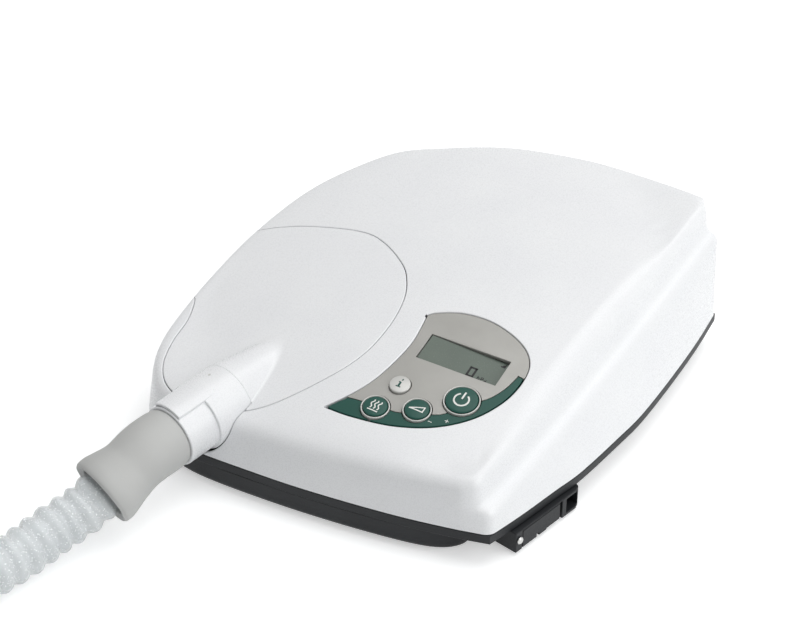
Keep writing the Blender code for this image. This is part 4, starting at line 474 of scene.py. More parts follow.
def cuff_line():
    """Middle line of the cuff on the nozzle."""
    mouth = SEAM_PLACE + NOZZLE_WAY * (NECK_END + SEAM_GAP)
    return [mouth, mouth + NOZZLE_WAY * CUFF_STRAIGHT] + [from_seam(p) for p in CUFF_LINE]


def coil_point(angle, turns):
    """A point of the coil's middle line; it winds anticlockwise and inwards, and its end climbs."""
    wound = angle / (2 * math.pi)
    late = min(max((wound - (turns - COIL_CLIMB_TURNS)) / COIL_CLIMB_TURNS, 0.0), 1.0)
    radius = COIL_RADIUS - (HOSE_DIAMETER + COIL_TURN_GAP) * wound + COIL_CLIMB_OUT * late ** 3
    heading = COIL_START + angle
    apart = math.remainder(heading - TIE_ANGLE, 2 * math.pi)
    lift = (TIE_THICKNESS + 2 * SEAM_GAP) * math.exp(-(apart / TIE_RAMP) ** 2)
    height = HOSE_DIAMETER / 2 + SEAM_GAP + lift + COIL_CLIMB * late * late * (3 - 2 * late)
    x, y = COIL_MIDDLE[0] + radius * math.cos(heading), COIL_MIDDLE[1] + radius * math.sin(heading)
    return from_seam((x, y, height))


def at_distance(line, distance):
    """The point at a distance along a line of points."""
    for a, b in zip(line, line[1:]):
        span = (b - a).length
        if distance <= span:
            return a.lerp(b, distance / span)
        distance -= span
    return line[-1]


def coil_entry():
    """Where the free hose meets the coil's own stretch, and the way back along it."""
    start = coil_point(0.0, math.inf)
    back = (start - coil_point(math.radians(1.0), math.inf)).normalized()
    return start + back * STRAIGHT_END, back


def free_line():
    """Middle line of the hose from inside the near cuff to where the coil starts."""
    cuff = smooth_line(cuff_line(), 60)
    seat = at_distance(cuff, length_of(cuff) - CUFF_SEAT_DEPTH + SEAM_GAP)
    straight = cuff[-1] + (cuff[-1] - seat).normalized() * HOSE_DIAMETER * 0.5
    start, back = coil_entry()
    lead = [start + back * STRAIGHT_END * k for k in (2, 1, 0)]
    return [seat, cuff[-1], straight] + [from_seam(p) for p in HOSE_LINE] + lead


def coil_line(turns):
    """The coil's middle line with its straight tail."""
    steps = int(turns * COIL_STEPS)
    line = [coil_point(2 * math.pi * turns * i / steps, turns) for i in range(steps + 1)]
    along = line[-1] - line[-2]
    along.z = 0.0
    line.append(line[-1] + along.normalized() * (STRAIGHT_END + CUFF_SEAT_DEPTH))
    return [coil_entry()[0]] + line


def hose_route():
    """The whole line, with as many turns as use up the hose's length."""
    free = smooth_line(free_line(), 36)
    low, high = TURNS_RANGE
    for _ in range(40):
        turns = (low + high) / 2
        route = free + coil_line(turns)[1:]
        if length_of(route) > HOSE_LENGTH:
            high = turns
        else:
            low = turns
    return route, turns


ROUTE, COIL_TURNS = hose_route()
print("hose", round(length_of(ROUTE), 4), "m in", len(ROUTE), "points,", round(COIL_TURNS, 3), "turns")

# %% [markdown]
# The real hose is a thin clear tube blown into soft ribs about 7.4 mm apart. A ring of points for
# each step along the route, wide at a crest and narrow in a groove, gives that form. The tube has
# an outer and an inner skin, so light passes two walls and the grooves look darker than the crests.

# %% Sweep a round section along a line
RIB_PITCH = 0.0074
RIB_ROOT = 0.0094           # radius in a groove
HOSE_WALL = 0.0009
RIB_STEPS = 8
HOSE_SIDES = 24
RIB_FULLNESS = 0.7          # below 1 the crests are wider than the grooves
SWEEP_STEPS = 400


def frames_along(line):
    """A place and two directions across for each point, without twist."""
    found = []
    side = None
    for i, spot in enumerate(line):
        along = (line[min(i + 1, len(line) - 1)] - line[max(i - 1, 0)]).normalized()
        if side is None:
            side = along.orthogonal().normalized()
        side = (side - along * side.dot(along)).normalized()
        found.append((spot, side, along.cross(side), along))
    return found


def swept(line, profile, sides, closed=False):
    """A tube along a line; the profile gives (distance along it, radius) for each ring."""
    even = even_steps(line, SWEEP_STEPS + 1)
    frames = frames_along(even)
    total = length_of(even)
    points = []
    for distance, radius in profile:
        reach = distance / total * SWEEP_STEPS
        first = min(max(int(reach), 0), SWEEP_STEPS - 1)
        share = reach - first
        spot, side, up, along = frames[first]
        later = frames[first + 1]
        centre = spot + (later[0] - spot) * share
        side = side.lerp(later[1], min(max(share, 0.0), 1.0)).normalized()
        up = up.lerp(later[2], min(max(share, 0.0), 1.0)).normalized()
        for i in range(sides):
            angle = 2 * math.pi * i / sides
            points.append(centre + side * (radius * math.cos(angle)) + up * (radius * math.sin(angle)))
    return points, ring_faces(len(profile), sides, closed)


def hose_mesh():
    """The whole ribbed hose, outside and inside, along the route."""
    ribs = round(HOSE_LENGTH / RIB_PITCH)
    rings = ribs * RIB_STEPS + 1
    line = even_steps(smooth_line(ROUTE, rings), rings)
    crest = HOSE_DIAMETER / 2
    points = []
    frames = frames_along(line)
    for inner in (False, True):
        for i, (spot, side, up, _) in enumerate(frames):
            wave = 0.5 - 0.5 * math.cos(2 * math.pi * i / RIB_STEPS)
            radius = RIB_ROOT + (crest - RIB_ROOT) * wave ** RIB_FULLNESS
            if inner:
                radius -= HOSE_WALL
            for k in range(HOSE_SIDES):
                angle = 2 * math.pi * k / HOSE_SIDES
                points.append(spot + side * (radius * math.cos(angle)) + up * (radius * math.sin(angle)))
    faces = ring_faces(rings, HOSE_SIDES)
    faces += [tuple(k + rings * HOSE_SIDES for k in reversed(face)) for face in faces]
    last = (rings - 1) * HOSE_SIDES
    skin = rings * HOSE_SIDES
    for i in range(HOSE_SIDES):
        j = (i + 1) % HOSE_SIDES
        faces.append((j, i, skin + i, skin + j))
        faces.append((last + i, last + j, skin + last + j, skin + last + i))
    return mesh_of(points, faces)


# %% [markdown]
# One mesh carries the whole hose, from the near cuff to the far one, so no joint shows along it.

# %% Hose
hose = piece("ribbed_hose", hose_mesh(), "hose_clear", replaces=("hose", "hose_coil"), sharp=180.0,
             weighted=False)
print("hose faces", len(hose.data.polygons))

# %% [markdown]
# A soft moulded cuff joins the hose to the nozzle. It swells over the cone, narrows to a waist and
# flares into a thick rounded lip, with a darker recess where the hose goes in. The near cuff bends
# with the hose and the far one, put away on the coil, is straight, so one function sweeps both.

# %% Cuffs
CONE_RADIUS = 0.0110
AIRWAY_RADIUS = 0.0092
CUFF_LIP = 0.0016
CUFF_BORE_START = 0.0160    # where the cone's bore gives way to the airway
CUFF_SHAPE = (              # share of the cuff's length, and of the cone's radius
    (0.0, 1.19), (0.03, 1.225), (0.12, 1.26), (0.35, 1.25), (0.55, 1.22), (0.66, 1.27), (0.78, 1.37),
    (0.88, 1.45), (0.95, 1.455), (0.985, 1.43), (1.0, 1.37),
)
CUFF_RINGS = 44
CUFF_SIDES = 56


def smooth_value(table, t):
    """Read a table of (share, value) pairs along a smooth curve."""
    for i in range(len(table) - 1):
        if t <= table[i + 1][0] or i == len(table) - 2:
            break
    spans = [table[min(max(i + k, 0), len(table) - 1)] for k in (-1, 0, 1, 2)]
    (t0, v0), (t1, v1), (t2, v2), (t3, v3) = spans
    width = t2 - t1
    share = (t - t1) / width
    rise_1 = (v2 - v0) / (t2 - t0) * width
    rise_2 = (v3 - v1) / (t3 - t1) * width
    cube, square = share ** 3, share ** 2
    return ((2 * cube - 3 * square + 1) * v1 + (cube - 2 * square + share) * rise_1
            + (3 * square - 2 * cube) * v2 + (cube - square) * rise_2)


def cuff_mesh(line):
    """A cuff with its mouth on the cone, its flared lip and the recess for the hose."""
    total = length_of(line)
    outer = [(total * i / CUFF_RINGS, smooth_value(CUFF_SHAPE, i / CUFF_RINGS) * CONE_RADIUS)
             for i in range(CUFF_RINGS + 1)]
    bore = CONE_RADIUS + SEAM_GAP
    seat = HOSE_DIAMETER / 2 + SEAM_GAP
    wide = CUFF_SHAPE[-1][1] * CONE_RADIUS
    recess = [(total - CUFF_LIP * 0.1, wide - 0.0006), (total - CUFF_LIP * 0.5, seat + 0.0008),
              (total - CUFF_LIP, seat), (total - CUFF_SEAT_DEPTH, seat),
              (total - CUFF_SEAT_DEPTH - 0.001, AIRWAY_RADIUS), (CUFF_BORE_START, AIRWAY_RADIUS),
              (CUFF_BORE_START - 0.001, bore), (0.0006, bore), (0.0, bore + 0.0006)]
    points, faces = swept(line, outer + recess, CUFF_SIDES, closed=True)
    return mesh_of(points, faces)


near_line = smooth_line(cuff_line(), 60)
near_cuff = piece("near_cuff", cuff_mesh(near_line), "cuff_grey", replaces=("hose_cuff",), sharp=50.0)

tail = (ROUTE[-1] - ROUTE[-2]).normalized()
far_start = ROUTE[-1] + tail * (SEAM_GAP - CUFF_SEAT_DEPTH)
far_length = (cuff_line()[-1] - cuff_line()[0]).length
far_line = [far_start + tail * (far_length * (1 - i / 8)) for i in range(9)]
far_cuff = piece("far_cuff_moulded", cuff_mesh(far_line), "cuff_grey", replaces=("far_cuff",), sharp=50.0)
print("cuff", round(length_of(near_line), 4), "and", round(far_length, 4), "m long")

# %% [markdown]
# A soft band keeps the coil's turns side by side. It is a rounded strap round both of them: a
# rounded outline that is repeated along the strap's section, wider where the section is thicker.

# %% Hose tie


def rounded_box(width, height, corner, steps=8):
    """Points of a rectangle with round corners, anticlockwise."""
    found = []
    for quarter, (sx, sy) in enumerate(((1, 1), (-1, 1), (-1, -1), (1, -1))):
        cx, cy = sx * (width / 2 - corner), sy * (height / 2 - corner)
        for i in range(steps + 1):
            angle = math.pi / 2 * (quarter + i / steps)
            found.append((cx + corner * math.cos(angle), cy + corner * math.sin(angle)))
    return found


def tie_mesh():
    """The strap round the two turns, with softened edges."""
    first = (TIE_ANGLE - COIL_START) % (2 * math.pi)
    inner, outer = coil_point(first + 2 * math.pi, COIL_TURNS), coil_point(first, COIL_TURNS)
    across = (outer - inner).normalized()
    along = Vector((-across.y, across.x, 0.0))
    turn = Matrix((across, Vector((0.0, 0.0, 1.0)), along)).transposed().to_4x4()
    width = (outer - inner).length + HOSE_DIAMETER + 6 * SEAM_GAP
    height = HOSE_DIAMETER + 4 * SEAM_GAP
    soft = TIE_THICKNESS * 0.35
    far = TIE_WIDTH / 2
    section = [(0.0, -far), (TIE_THICKNESS - soft, -far), (TIE_THICKNESS, -far + soft),
               (TIE_THICKNESS, far - soft), (TIE_THICKNESS - soft, far), (0.0, far)]
    points = []
    for grow, depth in section:
        ring = rounded_box(width + 2 * grow, height + 2 * grow, HOSE_DIAMETER / 2 + grow)
        points += [(x, y, depth) for x, y in ring]
    return mesh_of(points, ring_faces(len(section), len(points) // len(section), closed=True),
                   Matrix.Translation((inner + outer) / 2) @ turn)


tie = piece("hose_strap", tie_mesh(), "rubber_black", replaces=("hose_tie",))
print("strap", [round(v, 4) for v in tie.dimensions])

# %% [markdown]
# The collar is a turned white ring that swings on the socket behind it. A raised tongue on top of
# it ends in an arched slot at the cuff, a small dot and a small arrow show which way it turns, and
# a fine groove marks where its neck begins.

# %% Outlet collar
COLLAR_RADIUS = 0.0155
COLLAR_LENGTH = 0.0190
NECK_RADIUS = 0.0143
CONE_LENGTH = 0.0120
SOCKET_RADIUS = 0.0116
SOCKET_DEPTH = 0.0120
TONGUE_SPREAD = math.radians(31.0)
TONGUE_TOP = 0.01565
TONGUE_START = 0.0105
TONGUE_END = 0.0338
SLOT_DEPTH = 0.0042
COLLAR_SIDES = 96
TONGUE_COLUMNS = 24
TONGUE_EDGE = 0.88          # share of its half width where the tongue starts to curve down
MARK_LEVELS = ((1.0, 0.00008), (1.08, -0.0001))     # spread and height of a mark's top and foot
DOT_RADIUS = 0.0006
DOT_SIDES = 16


def collar_mesh():
    """The turned body of the collar, with its bore and its cone."""
    bore, start, stop = SOCKET_RADIUS + SEAM_GAP, SEAM_GAP / 2, SOCKET_DEPTH + SEAM_GAP
    tip = NECK_END + CONE_LENGTH
    points = [(bore, stop), (bore, start), (COLLAR_RADIUS, start), (COLLAR_RADIUS, COLLAR_LENGTH),
              (NECK_RADIUS, COLLAR_LENGTH), (NECK_RADIUS, NECK_END), (CONE_RADIUS, NECK_END),
              (CONE_RADIUS - 0.00015, tip), (AIRWAY_RADIUS, tip), (AIRWAY_RADIUS, stop)]
    sizes = (0.0003, 0.0005, 0.0006, 0.0003, 0.0006, 0.0004, 0.0004, 0.0004)
    return turned(flat_profile(points, sizes), COLLAR_SIDES, closed=True, place=NOZZLE)


def tongue_mesh():
    """The raised tongue with its dark slot: a band of the collar's curve, hollow at its end."""
    sections = ((TONGUE_START, NECK_RADIUS, 0.6), (TONGUE_START + 0.0012, TONGUE_TOP, 0.8),
                (TONGUE_START + 0.0040, TONGUE_TOP + 0.0003, 1.0),
                (TONGUE_END - 0.0004, TONGUE_TOP + 0.0003, 1.0), (TONGUE_END, TONGUE_TOP, 1.0),
                (TONGUE_END, NECK_RADIUS + 0.0005, 1.0),
                (TONGUE_END - SLOT_DEPTH, NECK_RADIUS + 0.0004, 0.9))
    across = TONGUE_COLUMNS
    points = []
    for along, radius, spread in sections:
        for i in range(across + 1):
            share = 2 * i / across - 1
            angle = math.pi / 2 + TONGUE_SPREAD * spread * share
            edge = max(0.0, abs(share) - TONGUE_EDGE) / (1 - TONGUE_EDGE)
            reach = radius - (radius - NECK_RADIUS + 0.0002) * edge ** 2
            points.append((reach * math.cos(angle), reach * math.sin(angle), along))
    faces = []
    row = across + 1
    for r in range(len(sections) - 1):
        low, high = r * row, (r + 1) * row
        faces += [(low + i, low + i + 1, high + i + 1, high + i) for i in range(across)]
    return mesh_of(points, faces, NOZZLE)


def on_collar(angle, along, radius):
    """A point on the collar by its angle from the top, distance from the seam and radius."""
    return NOZZLE @ Vector((radius * math.sin(angle), radius * math.cos(angle), along))


def mark_mesh(outline, radius, middle_angle, middle_along):
    """A small raised mark that follows the collar's curve; the outline is in metres."""
    points = []
    for spread, height in MARK_LEVELS:
        points += [on_collar(middle_angle + x * spread / radius, middle_along + y * spread, radius + height)
                   for x, y in outline]
    count = len(outline)
    return mesh_of(points, [tuple(range(count))] + ring_faces(2, count))


collar = piece("collar_body", collar_mesh(), "housing_white", "collar", replaces=("outlet_collar",))
piece("collar_tongue", tongue_mesh(), "housing_white", "collar")
dot_turns = [2 * math.pi * i / DOT_SIDES for i in range(DOT_SIDES)]
dot = [(DOT_RADIUS * math.cos(turn), DOT_RADIUS * math.sin(turn)) for turn in dot_turns]
arrow = [(-0.0016, -0.0012), (0.0, 0.0012), (0.0016, -0.0012), (0.0006, -0.0012), (0.0006, -0.0028),
         (-0.0006, -0.0028), (-0.0006, -0.0012)]
piece("collar_dot", mark_mesh(dot, COLLAR_RADIUS, math.radians(-7.0), 0.0072), "ring_grey", "collar",
      weighted=False)
piece("collar_arrow", mark_mesh(arrow, COLLAR_RADIUS, math.radians(2.0), 0.0172), "housing_white", "collar",
      weighted=False)
print("collar", [round(v, 4) for v in collar.dimensions])

# %% [markdown]
# The white housing is one moulded skin. In plan it is a soft wedge, its top is a plane that rises
# to the back with a shallow crown on it, and its right side steps down to a ledge. We draw an
# upright profile at many stations round the plan and join them, as a hull is built from its ribs.
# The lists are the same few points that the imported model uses, read much more densely.

# %% Plan outline and top of the housing
RIGHT_OUTLINE_SHARES = (
    (0.395, -0.446), (0.421, -0.365), (0.4475, -0.268), (0.468, -0.193), (0.488, -0.059),
    (0.498, 0.029), (0.500, 0.164), (0.4965, 0.311), (0.487, 0.438),
)
ROUND_OUTLINE_SHARES = (
    (0.487, 0.438), (0.430, 0.4620), (0.294, 0.4790), (0.1477, 0.4852), (0.0013, 0.4704),
    (-0.0989, 0.4479), (-0.2099, 0.4040), (-0.3231, 0.3468), (-0.4146, 0.2393), (-0.4683, 0.1367),
    (-0.5040, -0.0004), (-0.5160, -0.1126), (-0.5180, -0.2246), (-0.5070, -0.3342), (-0.4710, -0.4150),
    (-0.4110, -0.4710), (-0.338, -0.4953), (-0.271, -0.4998), (-0.160, -0.5), (-0.041, -0.498),
    (0.089, -0.4896), (0.2153, -0.4771), (0.3347, -0.4585), (0.395, -0.446),
)
RIGHT_STATIONS = 90
ROUND_STATIONS = 250
CORNER_ROUND = 0.0034
CORNER_STEPS = 6
RIM_HEIGHT = 0.0556
RIM_BACK_RISE = 0.185
RIM_RIGHT_RISE = 0.028
FAR_LEFT_LIFT = 0.0091
CROWN = 0.0090
RIDGE_FRONT = 0.3545
RIDGE_BACK = 0.4455
RIDGE_BOW = 0.0069
STEP_HEIGHT = 0.0118
STEP_DRAFT = 0.0016
LEDGE_WIDTH = 0.0056
LEDGE_DROP = 0.0022
FRONT_LEAN = 0.0066
FRONT_LEAN_RIGHT = 0.0012
SIDE_LEAN = 0.0020


def in_plan(shares):
    """Shares of the body's width and depth as plan points."""
    return [Vector((u * BODY_WIDTH, v * BODY_DEPTH, 0.0)) for u, v in shares]


def rim_plane(x, y):
    """Height of the rim: a plane, lifted a little towards the far left."""
    far_left = max(0.0, y / BODY_DEPTH - x / BODY_WIDTH)
    return RIM_HEIGHT + RIM_BACK_RISE * y + RIM_RIGHT_RISE * x + FAR_LEFT_LIFT * far_left ** 2


def top_height(x, y):
    """Height of the finished top surface."""
    reach = (2 * x / BODY_WIDTH) ** 2 + (2 * y / BODY_DEPTH) ** 2
    return rim_plane(x, y) + CROWN * max(0.0, 1.0 - reach)


def outline_stations():
    """Plan points all round, from the front right-hand corner, on the right side and the rest."""
    right = smooth_line(in_plan(RIGHT_OUTLINE_SHARES), RIGHT_STATIONS)
    rest = []
    for point in smooth_line(in_plan(ROUND_OUTLINE_SHARES), ROUND_STATIONS)[1:-1]:
        ridge_end = BODY_WIDTH * (RIDGE_FRONT if point.y < 0 else RIDGE_BACK)
        if point.x < ridge_end + 0.001:
            rest.append(point)
    return right, rest


def ring_normals(points):
    """Outward plan normals of a closed ring that runs anticlockwise."""
    found = []
    for i in range(len(points)):
        along = points[(i + 1) % len(points)] - points[i - 1]
        found.append(Vector((along.y, -along.x, 0.0)).normalized())
    return found


right_side, round_side = outline_stations()
print("stations", len(right_side) + len(round_side))

# %% [markdown]
# Each station's profile runs up the wall, over the ledge and the step on the right, and over the
# rim on to the top. All profiles have the same number of points, so that they join ring by ring.

# %% Profiles of the housing
EDGE_REACH = 0.08           # how far inwards the top sets the slope of its soft edge
LEDGE_ROUND = 0.0030
FOOT_ROUND = 0.0030
RIM_ROUND = 0.0050
WALL_STEPS = 6
ROUND_STEPS = 5
TOP_SHARES = (0.86, 0.78, 0.68, 0.56, 0.42, 0.28, 0.14)
TOP_STEPS = 34


def right_profile(place, share):
    """Control points of the stepped right-hand side: foot, ledge, step and ridge."""
    reach = RIDGE_FRONT + (RIDGE_BACK - RIDGE_FRONT) * share
    ridge_x = BODY_WIDTH * (reach + 4 * RIDGE_BOW * share * (1 - share))
    ridge_y = place.y * (1 - SIDE_LEAN / BODY_DEPTH * 3)
    ridge = Vector((ridge_x, ridge_y, rim_plane(ridge_x, ridge_y)))
    foot = ridge + Vector((STEP_DRAFT, 0.0, -STEP_HEIGHT))
    ledge = foot + Vector((LEDGE_WIDTH, 0.0, -LEDGE_DROP))
    return [Vector((place.x, place.y, HOUSING_BOTTOM)), ledge, foot, ridge]


def round_profile(place, normal):
    """Control points of the plain leaning wall."""
    facing_front = max(0.0, -normal.y) ** 2
    right_share = min(max(place.x / BODY_WIDTH + 0.5, 0.0), 1.0)
    front = FRONT_LEAN + (FRONT_LEAN_RIGHT - FRONT_LEAN) * right_share ** 2
    rim = place - normal * (SIDE_LEAN + (front - SIDE_LEAN) * facing_front)
    rim.z = rim_plane(rim.x, rim.y)
    low = Vector((place.x, place.y, HOUSING_BOTTOM))
    return [low, low.lerp(rim, 0.36), low.lerp(rim, 0.48), rim]


def control_profiles():
    """The control profile at every station, with rounded upright corners."""
    whole = right_side + round_side
    normals = ring_normals(whole)
    profiles = [right_profile(p, i / (len(right_side) - 1)) for i, p in enumerate(right_side)]
    profiles += [round_profile(p, n) for p, n in zip(round_side, normals[len(right_side):])]
    corners = (0, len(right_side) - 1)
    spread = []
    for i, profile in enumerate(profiles):
        near = min(abs(i - c) for c in corners + (len(profiles),))
        if near in (1, 2):
            continue
        if i not in corners:
            spread.append(profile)
            continue
        before, after = profiles[i - 3], profiles[(i + 3) % len(profiles)]
        columns = [soft_corners([before[k], profile[k], after[k]], [CORNER_ROUND], CORNER_STEPS)[1:-1]
                   for k in range(len(profile))]
        spread += [[column[j] for column in columns] for j in range(CORNER_STEPS + 1)]
    return spread


def full_profile(control):
    """Every point of one profile, from the foot of the wall to near the middle of the top."""
    low, ledge, foot, rim = control
    inward = rim * (1 - EDGE_REACH)
    inward.z = top_height(inward.x, inward.y)
    shaped = soft_corners([low, ledge, foot, rim, inward], [LEDGE_ROUND, FOOT_ROUND, RIM_ROUND], ROUND_STEPS)
    wall = [low.lerp(shaped[1], i / WALL_STEPS) for i in range(WALL_STEPS)]
    top = [shaped[-2], inward]
    for share in TOP_SHARES:
        x, y = rim.x * share, rim.y * share
        top.append(Vector((x, y, top_height(x, y))))
    return wall + shaped[1:-2] + smooth_line(top, TOP_STEPS)


def skin_mesh():
    """The housing's outer skin as a closed block: the skin itself, and a floor that is thrown away."""
    profiles = [full_profile(p) for p in control_profiles()]
    count = len(profiles)
    rings = [[profile[k] for profile in profiles] for k in range(len(profiles[0]))]
    points = [p for ring in rings for p in ring]
    faces = ring_faces(len(rings), count)
    points.append(Vector((0.0, 0.0, top_height(0.0, 0.0))))
    last = (len(rings) - 1) * count
    faces += [(last + i, last + (i + 1) % count, len(points) - 1) for i in range(count)]
    floor_faces = len(faces)
    faces.append(tuple(reversed(range(count))))
    mesh = bpy.data.meshes.new("skin")
    mesh.from_pydata(points, [], faces)
    for i, face in enumerate(mesh.polygons):
        face.material_index = 1 if i >= floor_faces else 0
    return mesh


skin = skin_mesh()
print("skin faces", len(skin.polygons))

# %% [markdown]
# The outlet cover carries a half cone that grows out of it towards the nozzle. Joining a cone to
# the skin would leave a hard crease, and the real one has a soft fillet. So we push the skin out
# from the nozzle's axis until it meets the cone, and blend the two distances on the way.

# %% Fairing of the outlet cover
FAIRING_LENGTH = 0.0460
FAIRING_TAPER = 0.150
FAIRING_BLEND = 0.0016
FAIRING_OVERRUN = 0.0030
FAIRING_FLOOR = SEAM_PLACE.z - 0.004            # below this the wall stays as it is
FINER_WITHIN = (0.022, 0.019, 0.017)            # each round splits the faces this near to the axis
FINER_ALONG = (-FAIRING_LENGTH - 0.004, 0.006)
FINEST_AREA = 1.2e-7


def softer_of(a, b, reach):
    """The larger of two distances, with a round blend where they are close."""
    near = max(reach - abs(a - b), 0.0) / reach
    return max(a, b) + near * near * reach / 4


def pushed(point):
    """A point of the skin, moved out from the nozzle's axis as far as the fairing's cone."""
    offset = point - SEAM_PLACE
    along = offset.dot(NOZZLE_WAY)
    if not -FAIRING_LENGTH < along < FAIRING_OVERRUN or point.z < FAIRING_FLOOR:
        return point
    spoke = offset - NOZZLE_WAY * along
    cone = COLLAR_RADIUS + FAIRING_TAPER * min(along, 0.0)
    reach = softer_of(spoke.length, cone, FAIRING_BLEND)
    return SEAM_PLACE + NOZZLE_WAY * along + spoke.normalized() * reach


def fairing_skin(source):
    """The skin, cut finer near the fairing and pushed out to its cone."""
    work = bmesh.new()
    work.from_mesh(source)
    for reach in FINER_WITHIN:
        near = set()
        for face in work.faces:
            offset = face.calc_center_median() - SEAM_PLACE
            along = offset.dot(NOZZLE_WAY)
            away = (offset - NOZZLE_WAY * along).length
            if FINER_ALONG[0] < along < FINER_ALONG[1] and away < reach and face.calc_area() > FINEST_AREA:
                near.update(face.edges)
        bmesh.ops.subdivide_edges(work, edges=list(near), cuts=1, use_grid_fill=True)
    for vertex in work.verts:
        if vertex.normal.z > -0.5:
            vertex.co = pushed(vertex.co)
    work.normal_update()
    mesh = bpy.data.meshes.new("fairing_skin")
    work.to_mesh(mesh)
    work.free()
    return mesh


cover_skin = fairing_skin(skin)
print("cover skin faces", len(cover_skin.polygons))

# %% [markdown]
# Housing and cover meet in a fine seam that wanders over the top and down the left wall, and the
# keypad's plate sits in an opening of its own. We cut these out of the closed skin with upright
# blocks, and then throw away all faces that don't belong to the skin. Real moulded edges are never
# sharp, so each cut edge is rolled over a small radius before it turns down into the gap.

# %% Cut the skin
EDGE_ROLL = 0.00050
ROLL_STEPS = 4
ROLL_DEPTH = 0.0022
FOOT_MARGIN = 0.0001
FAR_REACH = 0.0600          # how far a cutting block stands off what it cuts
WELD = 0.00004


def block_mesh(outline, low, high, place=None):
    """A closed block from a plan outline; low and high are heights or functions of x and y."""
    bottom = [Vector((x, y, low(x, y) if callable(low) else low)) for x, y in outline]
    top = [Vector((x, y, high(x, y) if callable(high) else high)) for x, y in outline]
    count = len(outline)
    faces = ring_faces(2, count) + [tuple(reversed(range(count))), tuple(range(count, 2 * count))]
    mesh = mesh_of(bottom + top, faces, place)
    for face in mesh.polygons:
        face.material_index = 1
    return mesh


def carved(source, cuts):
    """What is left of a closed skin after some cuts; faces made by a cut are in slot 1."""
    made = bpy.data.objects.new("carving", source.copy())
    bpy.context.scene.collection.objects.link(made)
    helpers = []
    for mesh in [made.data] + [mesh for _, mesh in cuts]:
        mesh.materials.append(FINISHES["housing_white"])
        mesh.materials.append(FINISHES["inner_grey"])
    for operation, mesh in cuts:
        helper = bpy.data.objects.new("cutting_block", mesh)
        bpy.context.scene.collection.objects.link(helper)
        helpers.append(helper)
        step = made.modifiers.new("cut", "BOOLEAN")
        step.object = helper
        step.operation = operation
        step.solver = "EXACT"
        step.material_mode = "INDEX"
    bpy.context.view_layer.update()
    seen = made.evaluated_get(bpy.context.evaluated_depsgraph_get())
    result = bpy.data.meshes.new_from_object(seen)
    for thing in [made] + helpers:
        data = thing.data
        bpy.data.objects.remove(thing, do_unlink=True)
        bpy.data.meshes.remove(data)
    return result


def normal_reader(source):
    """A function that reads the smooth normal of a skin near a point."""
    work = bmesh.new()
    work.from_mesh(source)
    bmesh.ops.delete(work, geom=[f for f in work.faces if f.material_index == 1], context="FACES_ONLY")
    bmesh.ops.triangulate(work, faces=work.faces)
    work.normal_update()
    work.faces.ensure_lookup_table()
    corners = [[v.co.copy() for v in face.verts] for face in work.faces]
    normals = [[v.normal.copy() for v in face.verts] for face in work.faces]
    tree = BVHTree.FromBMesh(work)
    work.free()

    def read(point):
        spot, _, index, _ = tree.find_nearest(point)
        shares = poly_3d_calc(corners[index], spot)
        return sum((n * s for n, s in zip(normals[index], shares)), Vector()).normalized()
    return read


def rolled_skin(source, normal_at, roll=EDGE_ROLL, depth=ROLL_DEPTH):
    """The open skin of a carved block, with every cut edge rolled over and turned down."""
    work = bmesh.new()
    work.from_mesh(source)
    bmesh.ops.delete(work, geom=[f for f in work.faces if f.material_index == 1], context="FACES")
    bmesh.ops.remove_doubles(work, verts=work.verts, dist=WELD)
    loose = [v for v in work.verts if not v.link_faces]
    bmesh.ops.delete(work, geom=loose, context="VERTS")
    work.normal_update()
    work.verts.index_update()
    points = [v.co.copy() for v in work.verts]
    faces = [tuple(v.index for v in face.verts) for face in work.faces]
    normals = [normal_at(p) for p in points]
    rim = [e for e in work.edges if len(e.link_faces) == 1
           and max(v.co.z for v in e.verts) > HOUSING_BOTTOM + FOOT_MARGIN]
    outward = {}
    for edge in rim:
        face = edge.link_faces[0]
        along = edge.verts[1].co - edge.verts[0].co
        away = along.cross(face.normal)
        if away.dot(face.calc_center_median() - edge.verts[0].co) > 0:
            away = -away
        for vertex in edge.verts:
            outward[vertex.index] = outward.get(vertex.index, Vector()) + away
    rings = {}
    for index, way in outward.items():
        spot, up = points[index], normals[index]
        way = (way - up * way.dot(up)).normalized()
        column = [index]
        for k in range(1, ROLL_STEPS + 1):
            angle = math.pi / 2 * k / ROLL_STEPS
            aside, down = roll * math.sin(angle), roll * (1 - math.cos(angle))
            points.append(spot + way * aside - up * down)
            normals.append(up * math.cos(angle) + way * math.sin(angle))
            column.append(len(points) - 1)
        points.append(points[-1] - up * depth)
        normals.append(way)
        column.append(len(points) - 1)
        rings[index] = column
    for edge in rim:
        loop = edge.link_loops[0]
        a, b = loop.vert.index, loop.link_loop_next.vert.index
        for k in range(ROLL_STEPS + 1):
            faces.append((rings[b][k], rings[a][k], rings[a][k + 1], rings[b][k + 1]))
    work.free()
    mesh = bpy.data.meshes.new("rolled")
    mesh.from_pydata(points, [], faces)
    mesh.shade_smooth()
    mesh.normals_split_custom_set_from_vertices(normals)
    return mesh


# %% [markdown]
# The keypad's plane follows the top where it sits. Its outline is a round outer side and a hollow
# left side that keeps its distance from the cover's seam.

